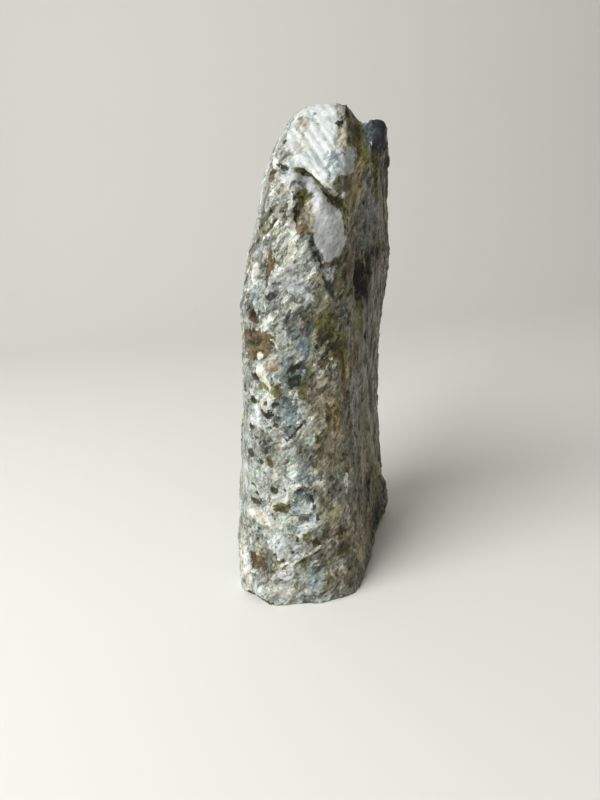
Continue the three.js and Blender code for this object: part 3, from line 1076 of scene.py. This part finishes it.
    def _broken(self, skin: Skin) -> np.ndarray:
        """Works out the chips, the grain and the cracks of rough stone.

        Args:
            skin: The smooth stone.

        Returns:
            How deep they are at each point, in millimetres.
        """
        noise, ragged = skin.noise, skin.ragged
        chips = sum(-proud * noise.facets(ragged + shift, wide) for wide, proud, shift in self.chips)
        grain = self.grain_depth * noise.layered(skin.points, self.grain_width, 2)
        cracks = self.crack_depth * noise.creases(ragged * (1.0, 1.0, 0.5), self.crack_spacing)
        return 0.75 * chips + grain + cracks

    def _pits(self, skin: Skin) -> np.ndarray:
        """Works out the pits: small ones strewn at random, and the large ones each in its place.

        Args:
            skin: The smooth stone.

        Returns:
            How deep in a pit each point is, from 0 to 1.
        """
        pitted = np.max([spot.cover(skin, 0.7) for spot in PITTED], axis=0)
        places = 0.4 * skin.points + 0.6 * skin.ragged
        small = skin.noise.pits(places, self.pit_spacing, 0.1 + 0.75 * pitted)
        return np.maximum(small, np.max([spot.cover(skin, 0.35) for spot in PITS], axis=0))

    def _minerals(self, skin: Skin) -> None:
        """Keeps one mask for each mineral, and how pale and how earthy the bare stone is. The paleness is
        partly painted light and shade: higher where the stone faces the key lamp's side, lower where it turns
        away.

        Args:
            skin: The smooth stone.
        """
        for mineral, marks in MARKS.items():
            self.masks[mineral.value] = np.max([mark.mask(skin) for mark in marks], axis=0)
        # Painted light and shade: lit is how far the surface faces the key lamp's side, and the pale mask is
        # raised there and lowered where the surface turns away; the lift at the back and the drift are the
        # stone's own tone.
        lit = skin.normals @ np.array((-0.75, -0.66, 0.1))
        right, back, _ = skin.normals.T
        unseen = smoothstep(-0.6, 0.3, back) * (1.0 - smoothstep(-0.2, 0.5, right))
        drift = (0.2 + 0.3 * unseen) * skin.noise.layered(skin.points + 130.0, 30.0, 2)
        behind = 0.2 * smoothstep(0.1, 0.8, back) - 0.08 * smoothstep(0.72, 0.98, lit)
        self.masks["pale"] = np.clip(0.32 + 0.37 * smoothstep(-0.5, 0.8, lit) + behind + drift, 0.0, 1.0)
        stray = 0.4 * skin.noise.layered(skin.points + 310.0, 34.0, 3)
        self.masks["earth"] = smoothstep(0.1, 0.65, right + stray)

    def _lighten(self, piece: bpy.types.Object) -> None:
        """Takes out faces where the surface is flat, down to the wanted number.

        Args:
            piece: The piece.
        """
        piece.data.calc_loop_triangles()
        thin = piece.modifiers.new("thin", "DECIMATE")
        thin.ratio = min(1.0, self.faces / len(piece.data.loop_triangles))
        self._applied(piece)
        piece.data.shade_smooth()


Socket = bpy.types.NodeSocket
Value = Socket | float | tuple[float, ...]
Colour = tuple[float, float, float]


class Board:
    """Adds nodes to one node tree and hands back what they put out, so that a finish reads as layers."""

    def __init__(self, tree: bpy.types.NodeTree) -> None:
        """Keeps the tree.

        Args:
            tree: The node tree to add to.
        """
        self.tree = tree

    def add(self, kind: str, inputs: Mapping[str | int, Value], **settings: object) -> bpy.types.Node:
        """Adds one node.

        Args:
            kind: Blender's name for the node.
            inputs: What goes into it: a socket to link, or a plain value.
            **settings: The node's own choices.

        Returns:
            The new node.
        """
        node = self.tree.nodes.new(kind)
        for name, setting in settings.items():
            setattr(node, name, setting)
        for name, value in inputs.items():
            self.feed(node.inputs[name], value)
        return node

    def feed(self, socket: Socket, value: Value) -> None:
        """Links a socket to another, or sets it to a plain value."""
        if isinstance(value, Socket):
            self.tree.links.new(value, socket)
        else:
            socket.default_value = value

    def plus(self, first: Value, second: Value, clamp: bool = False) -> Socket:
        """Adds two values, and if asked keeps the sum from 0 to 1."""
        return self._sum("ADD", first, second, clamp)

    def minus(self, first: Value, second: Value) -> Socket:
        """Takes the second value from the first."""
        return self._sum("SUBTRACT", first, second)

    def times(self, first: Value, second: Value, clamp: bool = False) -> Socket:
        """Multiplies two values, and if asked keeps the product from 0 to 1."""
        return self._sum("MULTIPLY", first, second, clamp)

    def _sum(self, operation: str, first: Value, second: Value, clamp: bool = False) -> Socket:
        """Works one sum on two values."""
        inputs = {0: first, 1: second}
        return self.add("ShaderNodeMath", inputs, operation=operation, use_clamp=clamp).outputs[0]

    def vector(self, operation: str, inputs: Mapping[str | int, Value]) -> Socket:
        """Works one sum on vectors."""
        return self.add("ShaderNodeVectorMath", inputs, operation=operation).outputs[0]

    def span(self, value: Value, low: float, high: float, start: float = 0.0, end: float = 1.0) -> Socket:
        """Spreads the values from low to high softly over start to end."""
        inputs = {"Value": value, "From Min": low, "From Max": high, "To Min": start, "To Max": end}
        return self.add("ShaderNodeMapRange", inputs, interpolation_type="SMOOTHSTEP").outputs["Result"]

    def noise(
        self, place: Value, scale: Value, detail: float, rough: float = 0.6, bend: float = 0.0
    ) -> Socket:
        """Draws noise.

        Args:
            place: Where it is read, in millimetres.
            scale: How many of its features there are to the millimetre.
            detail: How many finer layers it has.
            rough: How strong those are, from 0 to 1.
            bend: How far its features are bent.

        Returns:
            A value round about 0.5.
        """
        inputs = {"Vector": place, "Scale": scale, "Detail": detail, "Roughness": rough, "Distortion": bend}
        return self.add("ShaderNodeTexNoise", inputs).outputs[0]

    def blend(self, share: Value, first: Value, second: Value) -> Socket:
        """Mixes two numbers."""
        return self.add("ShaderNodeMix", {0: share, 2: first, 3: second}, data_type="FLOAT").outputs[0]

    def mix(self, share: Value, first: Value, second: Value, blend: str = "MIX") -> Socket:
        """Mixes two colours."""
        node = self.add("ShaderNodeMix", {0: share}, data_type="RGBA", blend_type=blend)
        self.feed(node.inputs[6], first)
        self.feed(node.inputs[7], second)
        return node.outputs[2]

    def ramp(self, value: Value, stops: Sequence[tuple[float, Colour]]) -> Socket:
        """Turns a value into a colour.

        Args:
            value: The value, from 0 to 1.
            stops: A row of values with the colour at each.

        Returns:
            The colour.
        """
        node = self.add("ShaderNodeValToRGB", {0: value})
        elements = node.color_ramp.elements
        for _ in stops[2:]:
            elements.new(0.5)
        for element, (position, colour) in zip(elements, stops):
            element.position = position
            element.color = (*colour, 1.0)
        return node.outputs[0]

    def mask(self, name: str) -> Socket:
        """Reads one of the masks on the mesh."""
        return self.add("ShaderNodeAttribute", {}, attribute_name=name).outputs["Fac"]

    def group(self, tree: bpy.types.NodeTree, **inputs: Value) -> bpy.types.NodeOutputs:
        """Places a node group.

        Args:
            tree: The group.
            **inputs: What goes into it.

        Returns:
            All that it puts out.
        """
        node = self.tree.nodes.new("ShaderNodeGroup")
        node.node_tree = tree
        for name, value in inputs.items():
            self.feed(node.inputs[name], value)
        return node.outputs


class StoneGroups:
    """The effects that the finishes share, each a node group that is built once."""

    @staticmethod
    def _tree(name: str, takes: Mapping[str, str], gives: Iterable[str]) -> tuple[Board, Mapping, Mapping]:
        """Starts a node group.

        Args:
            name: What it is called.
            takes: Its inputs, and what kind each is.
            gives: Its outputs, all plain numbers.

        Returns:
            A board for it, its input sockets, and the sockets that its outputs are fed through.
        """
        tree = bpy.data.node_groups.new(name, "ShaderNodeTree")
        for socket, kind in takes.items():
            tree.interface.new_socket(socket, in_out="INPUT", socket_type=f"NodeSocket{kind}")
        for socket in gives:
            tree.interface.new_socket(socket, in_out="OUTPUT", socket_type="NodeSocketFloat")
        source = tree.nodes.new("NodeGroupInput").outputs
        target = tree.nodes.new("NodeGroupOutput").inputs
        return Board(tree), source, target

    @cached_property
    def ragged(self) -> bpy.types.NodeTree:
        """Breaks the soft edge of a mask into islands, coarse and fine, and along the grains."""
        takes = {"Mask": "Float", "Place": "Vector", "Grain": "Float", "Scale": "Float", "Rag": "Float"}
        board, source, target = self._tree("ragged_edge", takes, ("Mask",))
        stray: Value = board.times(board.minus(source["Grain"], 0.5), 0.6)
        for times, share in ((0.4, 0.8), (1.0, 0.9), (3.3, 0.8)):
            scale = board.times(source["Scale"], times)
            layer = board.minus(board.noise(source["Place"], scale, 3.0, 0.7), 0.5)
            stray = board.plus(stray, board.times(layer, share))
        reach = board.times(source["Rag"], board.times(source["Mask"], 4.0, clamp=True))
        edge = board.plus(source["Mask"], board.times(stray, reach))
        board.feed(target["Mask"], board.span(edge, 0.4, 0.6))
        return board.tree

    @cached_property
    def mottle(self) -> bpy.types.NodeTree:
        """Cloudy tone in three sizes, from 0 to 1."""
        takes = {"Place": "Vector", "Scale": "Float", "Contrast": "Float"}
        board, source, target = self._tree("mottle", takes, ("Tone",))
        tone: Value = 0.0
        for times, share in ((1.0, 0.42), (3.1, 0.33), (8.7, 0.25)):
            scale = board.times(source["Scale"], times)
            layer = board.minus(board.noise(source["Place"], scale, 2.0, bend=0.5), 0.5)
            tone = board.plus(tone, board.times(layer, share))
        spread = board.times(tone, source["Contrast"])
        board.feed(target["Tone"], board.plus(spread, 0.5, clamp=True))
        return board.tree

    @cached_property
    def mosaic(self) -> bpy.types.NodeTree:
        """Interlocking mineral grains with bent edges, each grain with its own tone and hue."""
        takes = {"Place": "Vector", "Scale": "Float", "Bend": "Float"}
        board, source, target = self._tree("mosaic", takes, ("Tone", "Hue"))
        inputs = {"Vector": source["Place"], "Scale": source["Scale"], "Detail": 2.0, "Roughness": 0.6}
        drift = board.add("ShaderNodeTexNoise", inputs).outputs["Color"]
        drift = board.vector("SUBTRACT", {0: drift, 1: (0.5, 0.5, 0.5)})
        drift = board.vector("SCALE", {0: drift, "Scale": source["Bend"]})
        bent = board.vector("ADD", {0: source["Place"], 1: drift})
        inputs = {"Vector": bent, "Scale": source["Scale"], "Smoothness": 0.12}
        cells = board.add("ShaderNodeTexVoronoi", inputs, feature="SMOOTH_F1")
        chance = board.add("ShaderNodeSeparateColor", {0: cells.outputs["Color"]}).outputs
        board.feed(target["Tone"], chance[0])
        board.feed(target["Hue"], chance[1])
        return board.tree

    @cached_property
    def flecks(self) -> bpy.types.NodeTree:
        """Small irregular flecks where fine noise is high."""
        takes = {"Place": "Vector", "Scale": "Float", "Share": "Float"}
        board, source, target = self._tree("flecks", takes, ("Mask",))
        noise = board.noise(source["Place"], source["Scale"], 3.0)
        height = board.plus(noise, board.times(source["Share"], 0.3))
        board.feed(target["Mask"], board.span(height, 0.66, 0.76))
        return board.tree


@dataclass(frozen=True)
class Tone:
    """How one mineral looks.

    Attributes:
        dark: Its colour in the dark of its mottling.
        light: Its colour in the light of it.
        grain: How wide the raggedness of its edge is, in millimetres.
        rag: How ragged the edge is, from 0 for a soft edge to 1 or more for loose islands.
        body: How much of the stone below it hides, from 0 to 1.
    """

    dark: Colour
    light: Colour
    grain: float = 2.4
    rag: float = 1.25
    body: float = 0.9


# The olive and near-black dark tones also colour painted shadows, and the cream tone painted glints and
# highlights, as listed in MARKS.
TONES: dict[Mineral, Tone] = {
    Mineral.LAVENDER: Tone((0.36, 0.365, 0.37), (0.66, 0.685, 0.70), grain=3.0, rag=0.8, body=0.84),
    Mineral.SLATE: Tone((0.024, 0.026, 0.022), (0.30, 0.305, 0.275), body=0.8),
    Mineral.TEAL: Tone((0.006, 0.013, 0.013), (0.115, 0.16, 0.15), body=0.84),
    Mineral.TAN: Tone((0.056, 0.045, 0.026), (0.45, 0.385, 0.27), body=0.85),
    Mineral.OLIVE: Tone((0.012, 0.012, 0.003), (0.23, 0.22, 0.066), rag=1.0, body=0.95),
    Mineral.OCHRE: Tone((0.050, 0.033, 0.006), (0.54, 0.41, 0.165), rag=1.0, body=0.95),
    Mineral.BLUE: Tone((0.05, 0.08, 0.09), (0.40, 0.49, 0.52), body=0.8),
    Mineral.RUST: Tone((0.012, 0.008, 0.002), (0.17, 0.112, 0.037), rag=0.9, body=0.93),
    Mineral.WHITE: Tone((0.34, 0.39, 0.39), (0.92, 0.96, 0.95), body=0.85),
    Mineral.CREAM: Tone((0.46, 0.44, 0.34), (0.98, 0.97, 0.88), grain=1.6, rag=1.0),
    Mineral.DARK: Tone((0.002, 0.002, 0.002), (0.028, 0.025, 0.018), body=0.96),
    Mineral.NAVY: Tone((0.002, 0.004, 0.010), (0.045, 0.060, 0.090), grain=1.4, rag=1.0, body=0.95),
}
BARE_STONE = (
    (0.0, (0.018, 0.019, 0.010)),
    (0.25, (0.070, 0.070, 0.045)),
    (0.45, (0.190, 0.192, 0.155)),
    (0.62, (0.360, 0.372, 0.340)),
    (0.80, (0.590, 0.615, 0.590)),
    (1.0, (0.860, 0.870, 0.820)),
)
EARTH = (
    (0.0, (0.014, 0.011, 0.006)),
    (0.2, (0.062, 0.052, 0.028)),
    (0.4, (0.170, 0.148, 0.094)),
    (0.6, (0.300, 0.270, 0.190)),
    (0.8, (0.480, 0.450, 0.350)),
    (1.0, (0.720, 0.690, 0.580)),
)
HUES = (
    (0.0, (1.0, 0.92, 0.78)),
    (0.3, (1.0, 0.99, 0.90)),
    (0.6, (0.90, 1.0, 0.97)),
    (1.0, (0.84, 0.96, 1.0)),
)
SOIL = (
    (0.0, (0.165, 0.105, 0.037)),
    (0.35, (0.088, 0.075, 0.028)),
    (0.7, (0.044, 0.043, 0.020)),
    (1.0, (0.026, 0.030, 0.018)),
)
SAWN = (
    (0.30, (0.34, 0.38, 0.38)),
    (0.45, (0.62, 0.66, 0.65)),
    (0.60, (0.77, 0.81, 0.80)),
    (0.78, (0.64, 0.70, 0.72)),
)


class Canvas(Board):
    """The board of one material, with the place on the stone and the shared effects at hand."""

    def __init__(self, tree: bpy.types.NodeTree, groups: StoneGroups) -> None:
        """Starts with the place on the stone, in millimetres.

        Args:
            tree: The material's node tree.
            groups: The shared effects.
        """
        super().__init__(tree)
        self.groups = groups
        spot = self.add("ShaderNodeTexCoord", {}).outputs["Object"]
        self.place = self.vector("SCALE", {0: spot, "Scale": 1.0 / MM})

    def drawn_out(self, lean: float, times: float) -> Socket:
        """Stretches the place, so that what is drawn on it is long in one direction.

        Args:
            lean: How far that direction leans from upright towards +X, in degrees.
            times: How many times longer it makes it.

        Returns:
            The new place.
        """
        turn = (0.0, math.radians(lean), 0.0)
        inputs = {"Vector": self.place, "Rotation": turn, "Scale": (1.0, 1.0, times)}
        return self.add("ShaderNodeMapping", inputs, vector_type="TEXTURE").outputs[0]

    def grains(self, place: Value) -> tuple[Socket, Socket]:
        """Draws fine grains among coarse ones.

        Args:
            place: Where they are read.

        Returns:
            How light each grain is, and its hue, from 0 to 1.
        """
        coarse = self.group(self.groups.mosaic, Place=place, Scale=0.48, Bend=2.4)
        small = self.group(self.groups.mosaic, Place=place, Scale=1.1, Bend=1.2)
        return self.plus(self.times(coarse["Tone"], 0.5), self.times(small["Tone"], 0.5)), coarse["Hue"]

    def clouds(self, place: Value, scale: float) -> Socket:
        """Draws strong mottling, from 0 to 1."""
        return self.group(self.groups.mottle, Place=place, Scale=scale, Contrast=2.6)["Tone"]

    def flecks(self, place: Value, scale: float, share: Value) -> Socket:
        """Draws small flecks over a share of the stone."""
        return self.group(self.groups.flecks, Place=place, Scale=scale, Share=share)["Mask"]

    def islands(self, name: str, grain: Value, wide: float, rag: float) -> Socket:
        """Breaks one of the stone's masks into ragged islands.

        Args:
            name: The mask.
            grain: A chance for each grain, from 0 to 1.
            wide: How wide the raggedness is, in millimetres.
            rag: How strong it is.

        Returns:
            The mask, from 0 to 1.
        """
        inputs = {"Mask": self.mask(name), "Grain": grain, "Scale": 1.0 / wide, "Rag": rag}
        return self.group(self.groups.ragged, Place=self.place, **inputs)["Mask"]


@dataclass(frozen=True)
class SoapstoneFinish:
    """Wet mottled soapstone.

    Attributes:
        groups: The shared effects.
        name: What the material is called.
        mottling: How wide the widest mottling is, in millimetres.
        slant: How far the grain in front leans from upright towards +X, in degrees.
        flute: How far the grain of the fluted stone leans.
        saw: How far the saw marks lean.
        fleck: The colour of the pale flecks, which stand partly for pale mineral and partly for painted
            glints.
        film_roughness: How rough the wet film is.
        film_ior: Its index of refraction.
        shine: The specular level of the bare stone.
    """

    groups: StoneGroups
    name: str = "wet_soapstone"
    mottling: float = 9.0
    slant: float = 46.0
    flute: float = -2.0
    saw: float = -29.0
    fleck: Colour = (0.86, 0.86, 0.77)
    film_roughness: float = 0.14
    film_ior: float = 1.4
    shine: float = 0.25

    def material(self) -> bpy.types.Material:
        """Builds the material.

        Returns:
            The new material.
        """
        material = bpy.data.materials.new(self.name)
        material.use_nodes = True
        canvas = Canvas(material.node_tree, self.groups)
        shader = material.node_tree.nodes["Principled BSDF"]
        rough = canvas.span(canvas.noise(canvas.place, 1.0 / 1.1, 3.0), 0.3, 0.7, 0.3, 0.6)
        film = canvas.span(canvas.noise(canvas.place, 1.0 / 7.0, 3.0), 0.4, 0.62, 0.04, 0.55)
        # Less wet film on the dark mask, so its patches, some of them painted shadow, keep little reflection.
        thin_film_on_dark = canvas.span(canvas.mask("dark"), 0.2, 0.8, 1.0, 0.1)
        canvas.feed(shader.inputs["Base Color"], self._colour(canvas))
        canvas.feed(shader.inputs["Roughness"], rough)
        canvas.feed(shader.inputs["Normal"], self._bump(canvas))
        canvas.feed(shader.inputs["Coat Weight"], canvas.times(film, thin_film_on_dark))
        shader.inputs["Coat Roughness"].default_value = self.film_roughness
        shader.inputs["Coat IOR"].default_value = self.film_ior
        shader.inputs["Specular IOR Level"].default_value = self.shine
        return material

    def _colour(self, canvas: Canvas) -> Socket:
        """Lays the stone's colours over each other, then darkens them where the relief sinks in as painted
        shade and lightens them a little on proud points.

        Args:
            canvas: The canvas to draw on.

        Returns:
            The colour.
        """
        grain, hue, cloudy = self._run_of_stone(canvas)
        colour = self._bare(canvas, grain, hue, cloudy)
        lively = canvas.minus(canvas.times(grain, 1.35), 0.175)
        tone = canvas.plus(lively, canvas.times(canvas.minus(cloudy, 0.5), 0.8), clamp=True)
        for mineral, look in TONES.items():
            mask = canvas.islands(mineral.value, hue, look.grain, look.rag)
            own = canvas.mix(tone, (*look.dark, 1.0), (*look.light, 1.0))
            colour = canvas.mix(canvas.times(mask, look.body), colour, own)
        colour = self._soiled(canvas, colour, hue)
        # Painted shade: darker where the sunk mask is high (crevices, pits, under ledges), a little lighter
        # on proud points.
        shade = canvas.span(canvas.mask("sunk"), 0.25, 0.95, 1.13, 0.46)
        shaded = canvas.add("ShaderNodeCombineColor", {0: shade, 1: shade, 2: shade}).outputs[0]
        return canvas.mix(1.0, colour, shaded, "MULTIPLY")

    def _run_of_stone(self, canvas: Canvas) -> tuple[Socket, Socket, Socket]:
        """Draws the grain as it runs on each side: slanting in front, upright where the stone is fluted.

        Args:
            canvas: The canvas to draw on.

        Returns:
            The tone of the grains, their hue, and the wider mottling, all from 0 to 1.
        """
        slanted = canvas.drawn_out(self.slant, 2.4)
        upright = canvas.drawn_out(self.flute, 9.0)
        plain = (*canvas.grains(slanted), canvas.clouds(slanted, 1.0 / self.mottling))
        fluted = (*canvas.grains(upright), canvas.clouds(upright, 1.3 / self.mottling))
        share = canvas.times(canvas.mask("fluted"), 0.8)
        grain, hue, cloudy = (canvas.blend(share, first, second) for first, second in zip(plain, fluted))
        return grain, hue, cloudy

    def _bare(self, canvas: Canvas, grain: Value, hue: Value, cloudy: Value) -> Socket:
        """Draws the bare stone with its earthy parts, its pale flecks and the saw marks of its head. Its tone
        and its share of flecks follow the pale mask, which is partly painted light; the flecks are partly
        pale mineral and partly painted glints.

        Args:
            canvas: The canvas to draw on.
            grain: The tone of the grains.
            hue: Their hue.
            cloudy: The wider mottling.

        Returns:
            The colour.
        """
        # The pale mask lifts the tone where the stone faces the lamp's side and lowers it where it turns
        # away: painted light and shade.
        pale = canvas.mask("pale")
        tone = canvas.plus(canvas.times(cloudy, 0.5), canvas.times(grain, 0.62))
        tone = canvas.plus(tone, canvas.minus(pale, 0.57), clamp=True)
        earth = canvas.islands("earth", hue, 6.2, 0.9)
        colour = canvas.mix(earth, canvas.ramp(tone, BARE_STONE), canvas.ramp(tone, EARTH))
        colour = canvas.mix(0.7, colour, canvas.ramp(hue, HUES), "MULTIPLY")
        # Pale flecks, partly pale mineral and partly painted glints; more of them where the pale mask is
        # high, so more on the lamp's side.
        flecks = canvas.flecks(canvas.place, 0.75, canvas.minus(canvas.times(pale, 1.2), 0.55))
        colour = canvas.mix(canvas.times(flecks, 0.8), colour, (*self.fleck, 1.0))
        marks = canvas.noise(canvas.drawn_out(self.saw, 9.0), 1.0 / 2.3, 3.0, 0.65)
        return canvas.mix(canvas.times(canvas.mask("sawn"), 0.85), colour, canvas.ramp(marks, SAWN))

    def _soiled(self, canvas: Canvas, colour: Value, hue: Value) -> Socket:
        """Strews dirt over the stone, less on its even places, and fills its pits with soil.

        Args:
            canvas: The canvas to draw on.
            colour: The stone's colour.
            hue: The hue of the grains.

        Returns:
            The new colour.
        """
        dirt = canvas.flecks(canvas.drawn_out(226.0, 1.6), 0.8, 0.2)
        clean = canvas.span(canvas.mask("even"), 0.2, 0.8, 1.0, 0.25)
        soil = canvas.ramp(hue, SOIL)
        colour = canvas.mix(canvas.times(canvas.times(dirt, clean), 0.8), colour, soil)
        return canvas.mix(canvas.times(canvas.islands("pit", hue, 1.3, 0.9), 0.92), colour, soil)

    def _bump(self, canvas: Canvas) -> Socket:
        """Raises the fine grain of the skin.

        Args:
            canvas: The canvas to draw on.

        Returns:
            The normal.
        """
        fine = canvas.noise(canvas.place, 1.0 / 0.9, 4.0, 0.65)
        height = canvas.plus(canvas.times(fine, 0.35), canvas.noise(canvas.place, 1.0 / 3.2, 3.0))
        strength = canvas.span(canvas.mask("even"), 0.2, 0.8, 1.0, 0.45)
        inputs = {"Height": height, "Strength": strength, "Distance": 1.2 * MM}
        return canvas.add("ShaderNodeBump", inputs).outputs[0]


@dataclass(frozen=True)
class Studio:
    """The camera, a pale seamless stage and soft light.

    Attributes:
        eye: Where the camera stands, in millimetres.
        pitch: How far it looks down, in degrees.
        roll: How far it is turned clockwise about its own line of sight, in degrees.
        lens: Its focal length on a 36 mm sensor.
        floor: The colour of the stage.
        sky: How strong the even light from all round is.
        lamp: Where the square lamp hangs, in metres.
        aim: Where the lamp points, in metres.
        side: How long the lamp's sides are, in metres.
        watts: How strong the lamp is.
    """

    eye: tuple[float, float, float] = (-8.4, -323.7, 216.6)
    pitch: float = 19.77
    roll: float = 4.89
    lens: float = 27.0
    floor: Colour = (0.77, 0.77, 0.72)
    sky: float = 0.33
    lamp: tuple[float, float, float] = (-0.75, -0.6, 0.95)
    aim: tuple[float, float, float] = (0.0, 0.0, 0.12)
    side: float = 0.9
    watts: float = 19.5

    def build(self) -> None:
        """Makes the stage, the lights and the camera."""
        self._camera()
        self._stage()
        self._lights()

    def _camera(self) -> None:
        """Stands the camera in place and makes it the scene's own."""
        data = bpy.data.cameras.new("camera")
        data.lens = self.lens
        data.clip_start = 0.01
        camera = bpy.data.objects.new("camera", data)
        turn = Matrix.Rotation(math.radians(90.0 - self.pitch), 4, "X")
        roll = Matrix.Rotation(math.radians(-self.roll), 4, "Z")
        camera.matrix_world = Matrix.Translation(Vector(self.eye) * MM) @ turn @ roll
        bpy.context.scene.collection.objects.link(camera)
        bpy.context.scene.camera = camera

    def _stage(self) -> None:
        """Makes the floor, which sweeps up behind the stone into a wall."""
        wall, bend, reach, height = 1.1, 0.5, 3.0, 2.2
        profile = [(-reach, 0.0)]
        for turn in np.linspace(0.0, math.pi / 2.0, 13):
            profile.append((wall - bend + bend * math.sin(turn), bend - bend * math.cos(turn)))
        profile.append((wall, height))
        corners = [(x, y, z) for y, z in profile for x in (-reach, reach)]
        faces = [(2 * i, 2 * i + 1, 2 * i + 3, 2 * i + 2) for i in range(len(profile) - 1)]
        mesh = bpy.data.meshes.new("stage")
        mesh.from_pydata(corners, [], faces)
        mesh.shade_smooth()
        floor = bpy.data.objects.new("stage", mesh)
        bpy.context.scene.collection.objects.link(floor)
        material = bpy.data.materials.new("pale_stage")
        material.use_nodes = True
        shader = material.node_tree.nodes["Principled BSDF"]
        shader.inputs["Base Color"].default_value = (*self.floor, 1.0)
        shader.inputs["Roughness"].default_value = 0.9
        mesh.materials.append(material)

    def _lights(self) -> None:
        """Hangs one large soft lamp to the upper left of the camera, under an even pale sky."""
        world = bpy.data.worlds.new("sky")
        world.use_nodes = True
        background = world.node_tree.nodes["Background"]
        background.inputs["Color"].default_value = (1.0, 0.99, 0.96, 1.0)
        background.inputs["Strength"].default_value = self.sky
        bpy.context.scene.world = world
        lamp = bpy.data.lights.new("key", "AREA")
        lamp.shape = "SQUARE"
        lamp.size = self.side
        lamp.energy = self.watts
        key = bpy.data.objects.new("key", lamp)
        place = Vector(self.lamp)
        look = (Vector(self.aim) - place).to_track_quat("-Z", "Y")
        key.matrix_world = Matrix.Translation(place) @ look.to_matrix().to_4x4()
        bpy.context.scene.collection.objects.link(key)
        bpy.context.scene.view_settings.view_transform = "Standard"


def main() -> None:
    """Builds the stone and its studio, in order."""
    logging.basicConfig(level=logging.INFO, format="%(name)s: %(message)s")
    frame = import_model()
    Studio().build()
    LOG.info("stage, lights and camera are in place")
    stone = StoneBlock().build(frame["nodes"][NODE])
    stone.data.materials.clear()
    stone.data.materials.append(SoapstoneFinish(StoneGroups()).material())
    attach(stone, BODY)
    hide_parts(NODE)
    LOG.info("%s has %d faces", stone.name, len(stone.data.polygons))


if __name__ == "__main__":
    main()
